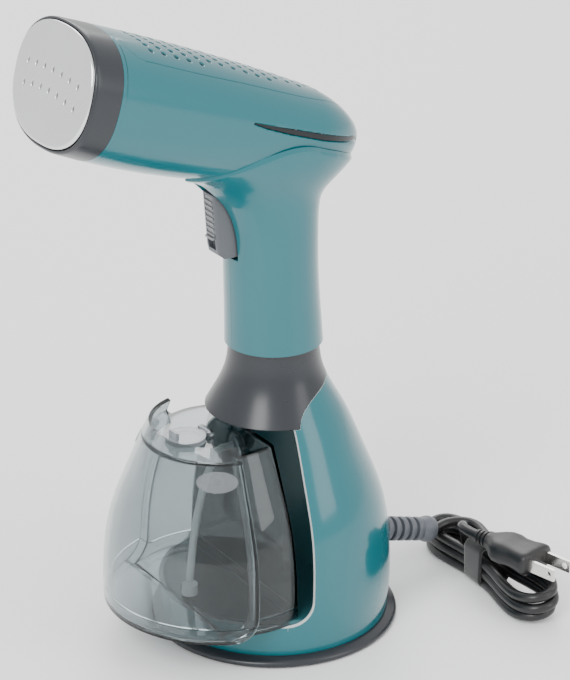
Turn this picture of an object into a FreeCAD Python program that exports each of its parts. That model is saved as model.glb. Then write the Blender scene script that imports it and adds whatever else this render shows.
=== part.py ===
"""Handheld garment steamer standing on its base, with its clear water tank drawn part of the way out.

Frame: millimetres, +Z up, the steam plate faces -Y, and X = 0 is the plane of symmetry.
The origin is the centre of the base, on the surface that the steamer stands on.
Tank pieces are drawn where the seated tank holds them, then moved forward by tank_out.
"""

import FreeCAD
import Part
import math
import os
import re
import Sketcher
from FreeCAD import Placement, Rotation, Vector

os.makedirs("parts", exist_ok=True)
doc = FreeCAD.newDocument("garment_steamer")
sizes = doc.addObject("Spreadsheet::Sheet", "sizes")

VALUES = {
    # base
    "base_radius": 62.0, "base_lift": 0.8, "base_height": 4.6, "base_inner_radius": 50.0,
    "cover_thick": 3.0, "pad_radius": 44.0, "pad_thick": 1.4,
    "screw_radius": 1.5, "screw_head_radius": 2.8, "screw_head_thick": 1.6, "screw_length": 13.0,
    "screw_circle": 36.0, "boss_radius": 4.0,
    # bell-shaped body, as radius and height of the points that its side passes through
    "hem_radius": 56.8, "bell_radius": 58.4, "bell_height": 22.0, "bell_top": 35.0,
    "belly_radius": 54.0, "belly_height": 67.3, "shoulder_radius": 45.0, "shoulder_height": 91.0,
    "skirt_radius": 35.0, "skirt_height": 114.0, "neck_radius": 23.9, "neck_height": 137.0,
    "waist_radius": 22.2, "waist_height": 150.0, "wall": 2.4,
    # bay that takes the tank
    "deck_top": 20.8, "deck_thick": 2.4, "rim_top_y": -8.8, "rim_low_y": -13.4, "rim_corner": 12.0,
    "collar_edge": 115.5, "collar_back_edge": 131.0, "collar_corner_y": -6.0,
    "bay_back": 17.0, "ceiling": 116.0,
    # handle sections
    "grip_radius": 21.1, "grip_lean": 1.7, "flare_depth": 33.5, "flare_width": 22.6,
    # head
    "plate_y": -117.5, "plate_height": 301.8, "plate_tilt": 15.7, "head_pitch": 22.67,
    "front_width": 36.0, "front_depth": 29.7, "middle_width": 31.4, "middle_depth": 28.5,
    "rear_width": 21.8, "rear_depth": 17.0, "head_length": 175.0, "dome_length": 38.0,
    "nozzle_depth": 15.5, "seam": 0.3,
    # steam plate and what is behind it
    "steam_plate_width": 34.2, "steam_plate_depth": 28.0, "steam_plate_thick": 3.6, "plate_proud": 1.6,
    "jet_radius": 1.15, "jet_pitch": 7.6, "gasket_thick": 1.4, "heater_width": 29.0,
    "heater_depth": 22.0, "heater_thick": 19.0, "chamber_cover_thick": 2.0, "carrier_thick": 3.0,
    "element_radius": 3.3, "thermostat_radius": 7.0, "thermostat_height": 6.0,
    # vents
    "vent_radius": 1.1, "vent_pitch": 7.2, "vent_row": 4.4,
    # trigger
    "trigger_half": 5.3, "trigger_gap": 0.5, "pivot_y": -25.0, "pivot_height": 229.0,
    "pin_radius": 1.3, "pin_gap": 0.05, "lock_half": 3.3, "lock_travel": 5.0,
    # tank
    "tank_out": 31.5, "tank_wall": 2.2, "tank_inset": 7.0, "tank_back": 13.6, "tank_gap": 0.3,
    "tank_base_top": 29.0, "tank_deck": 108.0, "tank_rim_top": 115.0,
    "filler_radius": 7.6, "filler_y": -19.0, "cap_radius": 9.8, "cap_thick": 2.0,
    "port_height": 97.0, "nose_radius": 4.0, "nose_length": 5.6, "socket_radius": 6.0,
    "button_long": 10.0, "button_short": 5.2, "button_height": 100.0, "button_angle": 57.0,
    "button_gap": 0.35, "well_depth": 10.0,
    # inside the rear of the body
    "pump_radius": 10.5, "pump_y": 33.0, "pump_bottom": 26.0, "pump_top": 74.0, "hose_radius": 2.2,
    "loom_radius": 1.8,
    # cord
    "cord_diameter": 5.2, "relief_length": 43.5, "relief_radius": 6.4, "relief_drop": 16.0,
    "relief_height": 30.0, "hank_length": 82.2, "hank_fold": 12.6, "hank_waist": 8.4,
    "hank_height": 21.8, "tie_width": 15.0, "tie_thick": 1.5,
    "plug_length": 27.0, "plug_width": 22.0, "plug_thick": 13.0, "blade_length": 15.9,
    "blade_width": 6.3, "blade_thick": 1.5, "blade_spacing": 12.7,
}

for row, (alias, value) in enumerate(VALUES.items(), start=1):
    sizes.set(f"A{row}", alias)
    sizes.set(f"B{row}", str(value))
    sizes.setAlias(f"B{row}", alias)
doc.recompute()

nodes = []


def size(alias):
    return float(sizes.get(alias))


def on_sheet(text):
    """Turns the sizes named in an expression into references to the spreadsheet."""
    return re.sub(r"[a-z]\w+", lambda m: "sizes." + m[0] if m[0] in VALUES else m[0], text)


def bind(thing, **expressions):
    for prop, text in expressions.items():
        thing.setExpression(prop, on_sheet(text))


def number(text):
    """The value that an expression of sheet sizes has now."""
    return float(sizes.evalExpression(on_sheet(text)))


def node(name, thing):
    thing.Label = name
    nodes.append(thing)
    return thing


def feature(name, shape):
    thing = doc.addObject("Part::Feature", name)
    thing.Shape = shape
    return thing


def cylinder(name, radius, height, place=Placement()):
    thing = doc.addObject("Part::Cylinder", name)
    bind(thing, Radius=radius, Height=height)
    thing.Placement = place
    return thing


def block(name, length, width, height, place=Placement()):
    """A box centred on its place in X and Y, standing on it in Z."""
    thing = doc.addObject("Part::Box", name)
    bind(thing, Length=length, Width=width, Height=height)
    corner = Placement(Vector(-number(length) / 2, -number(width) / 2, 0), Rotation())
    thing.Placement = place.multiply(corner)
    return thing


def cut(name, base, tool):
    thing = doc.addObject("Part::Cut", name)
    thing.Base = base
    thing.Tool = tool
    return thing


def fuse(name, *pieces):
    thing = doc.addObject("Part::MultiFuse", name)
    thing.Shapes = list(pieces)
    return thing


def common(name, *pieces):
    thing = doc.addObject("Part::MultiCommon", name)
    thing.Shapes = list(pieces)
    return thing


def group(name, *pieces):
    """Separate solids of one node."""
    thing = doc.addObject("Part::Compound", name)
    thing.Links = list(pieces)
    return thing


def at(x=0.0, y=0.0, z=0.0, axis=None, angle=0.0):
    return Placement(Vector(x, y, z), Rotation(Vector(*(axis or (0, 0, 1))), angle))


def plane_of(body, role):
    return next(item for item in body.Origin.OriginFeatures if item.Role == role)


def outline(body, name, role, points):
    """A closed sketch through points given as pairs of expressions, each held by two dimensions."""
    sketch = body.newObject("Sketcher::SketchObject", name)
    sketch.AttachmentSupport = [(plane_of(body, role), "")]
    sketch.MapMode = "FlatFace"
    spots = [Vector(number(across), number(up), 0) for across, up in points]
    for index, spot in enumerate(spots):
        sketch.addGeometry(Part.LineSegment(spot, spots[(index + 1) % len(spots)]), False)
    for index in range(len(spots)):
        sketch.addConstraint(Sketcher.Constraint("Coincident", index, 2, (index + 1) % len(spots), 1))
    for index, (spot, pair) in enumerate(zip(spots, points)):
        for kind, other_axis, value, text in (
            ("DistanceX", -2, spot.x, pair[0]),
            ("DistanceY", -1, spot.y, pair[1]),
        ):
            if abs(value) < 1e-9:
                sketch.addConstraint(Sketcher.Constraint("PointOnObject", index, 1, other_axis))
                continue
            key = sketch.addConstraint(Sketcher.Constraint(kind, -1, 1, index, 1, value))
            sketch.setExpression(f"Constraints[{key}]", on_sheet(text))
    return sketch


def turned(name, points):
    """A body of revolution about its own Z from pairs of radius and height."""
    body = doc.addObject("PartDesign::Body", name)
    sketch = outline(body, name + "_outline", "XZ_Plane", points)
    turn = body.newObject("PartDesign::Revolution", name + "_turn")
    turn.Profile = sketch
    turn.ReferenceAxis = (sketch, ["V_Axis"])
    turn.Angle = 360
    return body


# ---- shared forms ----

def bell_solid(inset, low, high):
    """The body's bell, its radius less inset, between two heights."""
    side = [
        (size("hem_radius"), size("base_height")), (size("bell_radius"), size("bell_height")),
        (size("bell_radius"), size("bell_top")), (size("belly_radius"), size("belly_height")),
        (size("shoulder_radius"), size("shoulder_height")), (size("skirt_radius"), size("skirt_height")),
        (size("neck_radius"), size("neck_height")), (size("waist_radius"), size("waist_height")),
    ]
    spots = [Vector(radius - inset, 0, height) for radius, height in side]
    curve = Part.BSplineCurve()
    curve.interpolate(spots)
    foot, top = Vector(0, 0, spots[0].z), Vector(0, 0, spots[-1].z)
    edges = [
        Part.LineSegment(foot, spots[0]).toShape(), curve.toShape(),
        Part.LineSegment(spots[-1], top).toShape(), Part.LineSegment(top, foot).toShape(),
    ]
    turned_face = Part.Face(Part.Wire(edges)).revolve(Vector(), Vector(0, 0, 1), 360)
    slab = Part.makeCylinder(2 * size("base_radius"), high - low, Vector(0, 0, low))
    return turned_face.common(slab)


def side_prism(edges):
    """A prism right across the steamer from edges of its outline in the YZ plane."""
    reach = 2 * size("base_radius")
    face = Part.Face(Part.Wire(edges))
    face.translate(Vector(-reach, 0, 0))
    return face.extrude(Vector(2 * reach, 0, 0))


def line(start, end):
    return Part.LineSegment(Vector(0, *start), Vector(0, *end)).toShape()


def rim_y(height):
    """How far forward the bay's rim stands at a height."""
    low, top = size("deck_top"), size("collar_edge")
    share = (height - low) / (top - low)
    return size("rim_low_y") + share * (size("rim_top_y") - size("rim_low_y"))


def bay_prism():
    """The space in front of the body's rim and above its deck, with a rounded inner corner."""
    reach, low, top = 2 * size("base_radius"), size("deck_top"), size("collar_edge")
    corner = size("rim_corner")
    start, end = (rim_y(low + corner), low + corner), (rim_y(low) - corner, low)
    middle = (rim_y(low) - corner * 0.28, low + corner * 0.29)
    arc = Part.Arc(Vector(0, *start), Vector(0, *middle), Vector(0, *end)).toShape()
    return side_prism([
        line((rim_y(top), top), start), arc, line(end, (-reach, low)),
        line((-reach, low), (-reach, top)), line((-reach, top), (rim_y(top), top)),
    ])


def collar_prism():
    """The space that the collar takes above the body: level in front, sweeping up to the back."""
    reach = 2 * size("base_radius")
    low, back, corner = size("collar_edge"), size("collar_back_edge"), size("collar_corner_y")
    rise = back - low
    sweep = Part.BSplineCurve()
    sweep.interpolate([
        Vector(0, corner, low), Vector(0, corner + 0.11 * rise, low + 0.25 * rise),
        Vector(0, corner + 0.41 * rise, low + 0.54 * rise),
        Vector(0, corner + 0.94 * rise, low + 0.80 * rise), Vector(0, corner + 1.68 * rise, back),
    ])
    top = size("waist_height") + 1
    return side_prism([
        line((-reach, low), (corner, low)), sweep.toShape(),
        line((corner + 1.68 * rise, back), (reach, back)), line((reach, back), (reach, top)),
        line((reach, top), (-reach, top)), line((-reach, top), (-reach, low)),
    ])


def superellipse(width, depth, place, power=2.4, count=32):
    """A closed smooth wire, rounder than a rectangle and squarer than an ellipse."""
    spots = []
    for step in range(count):
        turn = 2 * math.pi * step / count
        across, up = math.cos(turn), math.sin(turn)
        swell = (abs(across) ** power + abs(up) ** power) ** (-1 / power)
        spots.append(place.multVec(Vector(width * swell * across, 0, depth * swell * up)))
    curve = Part.BSplineCurve()
    curve.interpolate(spots, PeriodicFlag=True)
    return Part.Wire([curve.toShape()])


def head_station(back, inset=0.0):
    """Placement and half sizes of the head's section at a distance behind the plate."""
    length, dome = size("head_length"), size("dome_length")
    share = back / length
    pitch = math.radians(size("head_pitch"))
    middle = Vector(
        0, size("plate_y") + math.cos(pitch) * back,
        size("plate_height") - math.sin(pitch) * back + 0.0566 * back * share,
    )
    tilt = size("plate_tilt") + (size("head_pitch") - size("plate_tilt")) * min(1.0, 2 * share)

    def blend(front, centre, rear):
        return (front * (1 - share) * (1 - 2 * share) + 4 * centre * share * (1 - share)
                + rear * share * (2 * share - 1)) - inset

    past = max(0.0, (back - length + dome) / (dome - inset))
    round_off = math.sqrt(max(0.0, 1 - past ** 2))
    width = blend(size("front_width"), size("middle_width"), size("rear_width")) * round_off
    depth = blend(size("front_depth"), size("middle_depth"), size("rear_depth")) * round_off
    return Placement(middle, Rotation(Vector(1, 0, 0), -tilt)), width, depth


def head_solid(inset, start=0.0):
    """The head from a distance behind the plate to its rounded rear end, its sides inset."""
    length, dome = size("head_length"), size("dome_length")
    straight = length - dome
    backs = [start + (straight - start) * step / 5 for step in range(6)]
    backs += [straight + (dome - inset) * math.sin(math.pi / 2 * step / 6.2) for step in range(1, 7)]
    wires = []
    for back in backs:
        place, width, depth = head_station(back, inset)
        wires.append(superellipse(width, depth, place))
    return Part.makeLoft(wires, True, False)


def grip_solid(inset):
    """The handle from the collar up into the head: round at the grip, flaring under the head."""
    base, grip, lean = size("waist_radius"), size("grip_radius"), size("grip_lean")
    low, depth, width = size("waist_height"), size("flare_depth"), size("flare_width")
    rows = [
        (low, 0.0, base, base), (low + 9, -0.2 * lean, base - 0.35, base - 0.35),
        (low + 20, -0.5 * lean, grip + 0.35, grip + 0.35), (low + 32, -0.8 * lean, grip + 0.1, grip + 0.1),
        (low + 46, -lean, grip, grip), (low + 58, -lean - 0.3, grip, grip + 0.4),
        (low + 68, -lean - 1.2, grip + 0.1, grip + 1.8), (low + 78, -lean - 2.4, grip + 0.6, grip + 5.6),
        (low + 88, -lean - 2.9, width, depth), (low + 98, -lean - 2.6, width + 1.4, depth + 4.0),
    ]
    wires = [
        superellipse(wide - inset, deep - inset, Placement(Vector(0, mid, height),
                     Rotation(Vector(1, 0, 0), -90)), power=2.0)
        for height, mid, wide, deep in rows
    ]
    return Part.makeLoft(wires, True, False)


def casing_solid(inset, nozzle=0.0):
    return head_solid(inset, nozzle).fuse(grip_solid(inset)).removeSplitter()


def plate_place(back, across=0.0, up=0.0):
    """A placement behind the steam plate whose Z runs backwards, square to the plate."""
    tilt = size("plate_tilt")
    turn = Rotation(Vector(1, 0, 0), -tilt)
    spot = Vector(0, size("plate_y"), size("plate_height")).add(turn.multVec(Vector(across, back, up)))
    return Placement(spot, turn.multiply(Rotation(Vector(1, 0, 0), -90)))


def oval(width, depth, back, thickness, power=2.4):
    """A plate of rounded outline square to the steam plate, from a distance behind it."""
    place = plate_place(back)
    flat = Placement(place.Base, place.Rotation.multiply(Rotation(Vector(1, 0, 0), 90)))
    face = Part.Face(superellipse(width, depth, flat, power))
    return face.extrude(place.Rotation.multVec(Vector(0, 0, thickness)))


def tube_along(points, radius, share=0.45):
    """A round tube of straight runs joined by tangent arcs, and the arcs' radii."""
    spots = [Vector(*point) for point in points]
    edges, radii, last = [], [], spots[0]
    for before, here, after in zip(spots, spots[1:], spots[2:]):
        into, out = (here - before).normalize(), (after - here).normalize()
        half_turn = into.getAngle(out) / 2
        trim = share * min((here - before).Length, (after - here).Length)
        start, end = here - into * trim, here + out * trim
        arc_radius = trim / math.tan(half_turn)
        bisector = (out - into).normalize()
        middle = here + bisector * (arc_radius / math.cos(half_turn) - arc_radius)
        if (start - last).Length > 1e-6:
            edges.append(Part.LineSegment(last, start).toShape())
        edges.append(Part.Arc(start, middle, end).toShape())
        radii.append(arc_radius)
        last = end
    edges.append(Part.LineSegment(last, spots[-1]).toShape())
    path = Part.Wire(edges)
    circle = Part.Circle(spots[0], (spots[1] - spots[0]).normalize(), radius)
    tube = path.makePipeShell([Part.Wire([circle.toShape()])], True, False)
    section = math.pi * radius ** 2 * path.Length
    if abs(tube.Volume / section - 1) > 0.02:
        raise ValueError("a tube's volume does not match its length")
    return tube, radii


# ---- base ----

def make_base():
    node("base_ring", turned("base_ring", [
        ("base_inner_radius", "base_lift"), ("base_radius - 0.6", "base_lift"),
        ("base_radius", "base_lift + 0.6"), ("base_radius", "base_lift + 1.4"),
        ("base_radius - 0.5", "base_lift + 2.3"), ("base_radius - 1.6", "base_lift + 3.0"),
        ("hem_radius + 0.6", "base_height + 0.5"), ("hem_radius", "base_height"),
        ("base_inner_radius", "base_height"),
    ]))
    cover = turned("cover_blank", [
        ("0", "pad_thick - 0.4"), ("pad_radius + 0.3", "pad_thick - 0.4"),
        ("pad_radius + 0.3", "base_lift"), ("base_inner_radius", "base_lift"),
        ("base_inner_radius", "base_lift + cover_thick"), ("0", "base_lift + cover_thick"),
    ])
    seats, screws, holes = [], [], []
    low = size("pad_thick")
    for index in range(4):
        angle = math.radians(45 + 90 * index)
        x, y = size("screw_circle") * math.cos(angle), size("screw_circle") * math.sin(angle)
        seats.append(cylinder(f"cover_seat_{index}", "screw_head_radius + 0.1",
                              "screw_head_thick + 0.1", at(x, y, low - 0.5)))
        seats.append(cylinder(f"cover_hole_{index}", "screw_radius + 0.2", "10", at(x, y, 0)))
        head = cylinder(f"base_screw_head_{index}", "screw_head_radius", "screw_head_thick",
                        at(x, y, low - 0.4))
        shank = cylinder(f"base_screw_shank_{index}", "screw_radius", "screw_length", at(x, y, low))
        screws.append(fuse(f"base_screw_{index}", head, shank))
        holes.append((x, y))
    node("base_cover", cut("base_cover", cover, fuse("cover_openings", *seats)))
    node("base_screws", group("base_screws", *screws))
    node("foot_pad", turned("foot_pad", [
        ("0", "0"), ("pad_radius - 0.5", "0"), ("pad_radius", "0.5"),
        ("pad_radius", "pad_thick - 0.4"), ("0", "pad_thick - 0.4"),
    ]))
    return holes


def make_body(screw_spots):
    wall, low, deck = size("wall"), size("base_height"), size("deck_top")
    back_edge = size("collar_back_edge")
    shell = bell_solid(0, low, back_edge).cut(bell_solid(wall, low, back_edge))
    shell = shell.fuse(bell_solid(wall - 0.2, deck - size("deck_thick"), deck))
    cover_top = size("base_lift") + size("cover_thick")
    for x, y in screw_spots:
        boss = Part.makeCylinder(size("boss_radius"), deck - 1 - cover_top, Vector(x, y, cover_top))
        shell = shell.fuse(boss)
    for x, y in screw_spots:
        pilot = Part.makeCylinder(size("screw_radius"), size("screw_length") + size("pad_thick"), Vector(x, y, 0))
        shell = shell.cut(pilot)
    shell = shell.cut(bay_prism()).cut(collar_prism()).cut(relief_form())
    shell = shell.removeSplitter()
    node("body_shell", feature("body_shell", shell))

    collar = bell_solid(0, size("collar_edge"), size("waist_height")).cut(
        bell_solid(wall, size("collar_edge"), size("waist_height")))
    node("skirt_collar", feature("skirt_collar", collar.common(collar_prism())))

    back, ceiling = size("bay_back"), size("ceiling")
    inside = bell_solid(wall + 0.1, deck, size("waist_height"))
    upright = Part.makeBox(200, wall, ceiling + wall - deck, Vector(-100, back, deck))
    roof = Part.makeBox(200, 100 + back + wall, wall, Vector(-100, -100, ceiling))
    liner = upright.fuse(roof).common(inside)
    port = size("port_height")
    hole = Part.makeCylinder(size("socket_radius") + 0.05, 20, Vector(0, back - 5, port), Vector(0, 1, 0))
    node("bay_liner", feature("bay_liner", liner.cut(hole).removeSplitter()))


def relief_place(along=0.0):
    """Where the cord's strain relief leaves the body; Z runs out along the cord."""
    drop = math.radians(size("relief_drop"))
    heading = Vector(0, math.cos(drop), -math.sin(drop))
    root = Vector(0, size("bell_radius") - 2.2, size("relief_height"))
    return Placement(root.add(heading * along), Rotation(Vector(1, 0, 0), -90 - size("relief_drop")))


def relief_form():
    """The cord's strain relief: a collar held in the wall, a slotted sleeve and a swollen end."""
    length, radius = size("relief_length"), size("relief_radius")
    neck = Part.makeCylinder(radius - 0.9, 3.2, Vector(0, 0, -2.6))
    flange = Part.makeCylinder(radius + 1.2, 1.4, Vector(0, 0, 0.2))
    sleeve = Part.makeCone(radius, radius - 0.4, length - 10, Vector(0, 0, -0.6))
    swell = Part.makeCone(radius - 0.4, radius + 0.7, 7.6, Vector(0, 0, length - 10.6))
    tip = Part.makeCone(radius + 0.7, radius - 1.2, 3.0, Vector(0, 0, length - 3.0))
    relief = neck.fuse([flange, sleeve, swell, tip])
    for index in range(7):
        low = 1.6 if index % 2 else -7.6
        relief = relief.cut(Part.makeBox(20, 6, 1.5, Vector(-10, low, 5.6 + 3.9 * index)))
    relief.Placement = relief_place()
    return relief


# ---- head and handle ----

def cover_prism(gap):
    """The upright prism whose outline is the vent cover seen from above."""
    front = size("plate_y") + size("nozzle_depth") + 9.5
    rows = [(8.0, front), (21.5, front + 3.0), (25.0, front + 9.0), (24.0, front + 38.0),
            (21.5, front + 68.0), (19.0, front + 92.0), (15.0, front + 112.0), (8.0, front + 125.0)]
    right = [Vector(x - gap, y + (gap if y < front + 5 else 0), 0) for x, y in rows]
    left = [Vector(-spot.x, spot.y, 0) for spot in reversed(right)]
    tip = Vector(0, front + 129.0 - gap, 0)
    side = Part.BSplineCurve()
    side.interpolate(right[2:] + [tip] + left[:-2])
    edges = [
        Part.LineSegment(left[-1], right[0]).toShape(), Part.LineSegment(right[0], right[1]).toShape(),
        Part.LineSegment(right[1], right[2]).toShape(), side.toShape(),
        Part.LineSegment(left[-3], left[-2]).toShape(), Part.LineSegment(left[-2], left[-1]).toShape(),
    ]
    face = Part.Face(Part.Wire(edges))
    low = size("plate_height") - 40
    face.translate(Vector(0, 0, low))
    return face.extrude(Vector(0, 0, 100)).common(head_upper())


def head_upper():
    """Everything above the plane through the head's middle line, sloping with the head."""
    slope = Placement(Vector(0, size("plate_y"), size("plate_height") + 4),
                      Rotation(Vector(1, 0, 0), -size("head_pitch") + 2))
    slab = Part.makeBox(200, 400, 200, Vector(-100, -50, 0))
    slab.Placement = slope
    return slab


def vent_holes():
    """Slanting rows of round holes square to the head, longest next to the middle."""
    pitch, row = size("vent_pitch"), size("vent_row")
    slope = Placement(Vector(0, size("plate_y"), size("plate_height")),
                      Rotation(Vector(1, 0, 0), -size("head_pitch")))
    counts = {0: 17, 1: 16, 2: 14, 3: 11, 4: 5}
    holes = []
    for step, count in counts.items():
        for side in ((1,) if step == 0 else (1, -1)):
            for index in range(count):
                along = 29.0 + 0.62 * row * step + pitch * index
                hole = Part.makeCylinder(size("vent_radius"), 60, Vector(side * row * step, along, 6))
                holes.append(hole)
    all_holes = Part.makeCompound(holes)
    all_holes.Placement = slope
    return all_holes


def strip_wedge(extra=0.0):
    """The wedge-shaped hollow along each side of the head, pointed in front, open at the back."""
    spots = [(-31.0, 276.2), (60.0, 243.6 + extra), (60.0, 229.0), (12.0, 257.5)]
    edges = [line(start, end) for start, end in zip(spots, spots[1:] + spots[:1])]
    return side_prism(edges)


def make_casing():
    wall, nozzle = size("wall"), size("nozzle_depth")
    outer = casing_solid(0)
    inner = casing_solid(wall)
    front = oval(80, 80, nozzle, -60)
    shell = outer.cut(inner).cut(front)
    shell = shell.cut(cover_prism(0))
    half = size("trigger_half") + size("trigger_gap")
    slot = Part.makeBox(2 * half, 30, 38.0, Vector(-half, size("pivot_y") - 24, size("pivot_height") - 31.5))
    shell = shell.cut(slot)
    shallow = head_solid(1.3)
    shell = shell.cut(strip_wedge().cut(shallow).common(beyond(size("rear_width") * 0.4)))
    lens_room = strip_lens_space(0.0)
    shell = shell.cut(lens_room).cut(lamp_solids())
    for label, sign in (("casing_right", 1), ("casing_left", -1)):
        keep = Part.makeBox(200, 600, 600, Vector(0 if sign > 0 else -200, -300, 0))
        node(label, feature(label, shell.common(keep)))
    cover = outer.cut(inner).common(cover_prism(size("seam"))).cut(vent_holes())
    node("vent_cover", feature("vent_cover", cover))


def beyond(half):
    """Everything at least this far from the middle plane, on both sides."""
    return Part.makeCompound([
        Part.makeBox(100, 600, 600, Vector(half, -300, 0)),
        Part.makeBox(100, 600, 600, Vector(-half - 100, -300, 0)),
    ])


def strip_lens_space(inset):
    """The narrow band under the wedge's upper edge that takes the dark lens."""
    spots = [(-30.0, 275.6), (50.0, 247.0), (50.0, 244.6), (-20.0, 270.4)]
    band = side_prism([line(start, end) for start, end in zip(spots, spots[1:] + spots[:1])])
    skin = head_solid(0.9 + inset).cut(head_solid(2.0 - inset))
    return skin.common(band).common(beyond(9.0 + inset))


def lamp_solids():
    """Two indicator lamps in each side's lens."""
    lamps = []
    for y, z in ((-5.6, 266.4), (10.4, 260.7)):
        for sign in (1, -1):
            start = Vector(sign * (lamp_reach(y) - 3.0), y, z)
            lamps.append(Part.makeCylinder(0.9, 2.6, start, Vector(sign, 0, 0)))
    return Part.makeCompound(lamps)


def make_lamps():
    lamps = lamp_solids()
    lens = strip_lens_space(0.0).cut(lamps)
    for label, sign in (("status_lens_right", 1), ("status_lens_left", -1)):
        keep = Part.makeBox(200, 600, 600, Vector(0 if sign > 0 else -200, -300, 0))
        node(label, feature(label, lens.common(keep)))
    node("indicator_lamps", feature("indicator_lamps", lamps))


def lamp_reach(y):
    """Half width of the head where a lamp stands."""
    back = (y - size("plate_y")) / math.cos(math.radians(size("head_pitch")))
    return head_station(back)[1] * 0.985


# ---- steam plate and heater ----

def make_nozzle():
    wall, depth = size("wall"), size("nozzle_depth")
    front = size("plate_proud")
    outer = head_solid(0).common(oval(80, 80, 1.0, depth - 1.0))
    plate_room = oval(size("steam_plate_width") + size("seam"), size("steam_plate_depth") + size("seam"),
                      -5, 7.7)
    collar = outer.cut(plate_room).cut(head_solid(wall, 2.0))
    lip = head_solid(wall - 0.3).common(oval(80, 80, 6.5, 2.0))
    lip = lip.cut(oval(size("heater_width") + 0.3, size("heater_depth") + 0.3, 0, 20))
    node("nozzle_collar", feature("nozzle_collar", collar.fuse(lip).removeSplitter()))

    thick = size("steam_plate_thick")
    rim = oval(size("steam_plate_width"), size("steam_plate_depth"), 0.6 - front + 1.0, thick - 1.0)
    face = oval(size("steam_plate_width") - 2.2, size("steam_plate_depth") - 2.2, 0.6 - front, 1.0)
    plate = rim.fuse(face)
    plate = plate.cut(jets())
    node("steam_plate", feature("steam_plate", plate.removeSplitter()))
    back = 0.6 - front + thick
    seal = size("gasket_thick")
    ring = oval(size("steam_plate_width") - 3, size("steam_plate_depth") - 3, back, seal)
    node("plate_gasket", feature("plate_gasket", ring.cut(
        oval(size("steam_plate_width") - 7, size("steam_plate_depth") - 7, back - 1, seal + 2))))
    return back + seal


def jets():
    """Two bowed rows of keyhole-shaped steam jets, seven to a row."""
    radius, pitch = size("jet_radius"), size("jet_pitch")
    tools = []
    for height, bow in ((6.6, 0.19), (-3.1, 0.25)):
        for index in range(-3, 4):
            place = plate_place(-5, pitch * index, height - bow * index * index)
            round_hole = Part.makeCylinder(radius, 20)
            tail = Part.makeBox(1.1 * radius, 2.6 * radius, 20, Vector(-0.55 * radius, 0, 0))
            keyhole = round_hole.fuse(tail)
            keyhole.Placement = place
            tools.append(keyhole)
    return Part.makeCompound(tools)


def make_heater(start):
    """The cast heater, the element clamped on it, its cover, and what hangs on the cover."""
    wide, deep, thick = size("heater_width"), size("heater_depth"), size("heater_thick")
    heater = oval(wide, deep, start, thick)
    chamber = oval(wide - 5, deep - 5, start - 1, 7)
    radius = size("element_radius")
    heater = heater.cut(chamber)
    back = start + thick
    bend = 9.0
    path = Part.Wire([
        Part.LineSegment(Vector(-bend, 10, 0), Vector(-bend, -6, 0)).toShape(),
        Part.Arc(Vector(-bend, -6, 0), Vector(0, -6 - bend, 0), Vector(bend, -6, 0)).toShape(),
        Part.LineSegment(Vector(bend, -6, 0), Vector(bend, 10, 0)).toShape(),
    ])
    element = path.makePipeShell([Part.Wire([Part.Circle(
        Vector(-bend, 10, 0), Vector(0, -1, 0), radius).toShape()])], True, False)
    element.Placement = plate_place(back - radius - 1.0)
    groove = element.copy()
    node("heater_block", feature("heater_block", heater.cut(groove)))
    node("heating_element", feature("heating_element", element))
    cover_thick = size("chamber_cover_thick")
    cover = oval(wide - 2, deep - 2, back, cover_thick)
    node("chamber_cover", feature("chamber_cover", cover))
    rear = back + cover_thick

    carrier = oval(size("front_width"), size("front_depth"), rear, size("carrier_thick"))
    carrier = carrier.common(head_solid(size("wall") + 0.1))
    carrier = carrier.cut(oval(wide - 8, deep - 6, rear - 1, size("carrier_thick") + 2))
    node("heater_carrier", feature("heater_carrier", carrier))

    node("thermostat", fuse("thermostat", cylinder(
        "thermostat_can", "thermostat_radius", "thermostat_height", plate_place(rear, 0, 8.6)),
        block("thermostat_tabs", "19", "3", "0.8", plate_place(rear + 3, 0, 8.6))))
    node("thermal_fuse", cylinder("thermal_fuse", "2", "15", plate_place(rear + 2.0, -7.5, -11.5).multiply(
        at(axis=(0, 1, 0), angle=90))))
    inlet = cylinder("inlet_base", "4", "3", plate_place(rear, 0, -3.8))
    barb = cylinder("inlet_barb", "hose_radius", "8", plate_place(rear + 3, 0, -3.8))
    return rear + 11, [inlet, barb]


# ---- trigger ----

def trigger_outline():
    """Side view of the trigger, from the top of its face round the bottom and up inside."""
    return [(-36.6, 232.6), (-34.5, 206.0), (-33.6, 202.0), (-30.5, 199.6), (-21.0, 199.6),
            (-17.8, 202.5), (-17.8, 224.0), (-21.5, 233.0), (-31.0, 234.2)]


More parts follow.
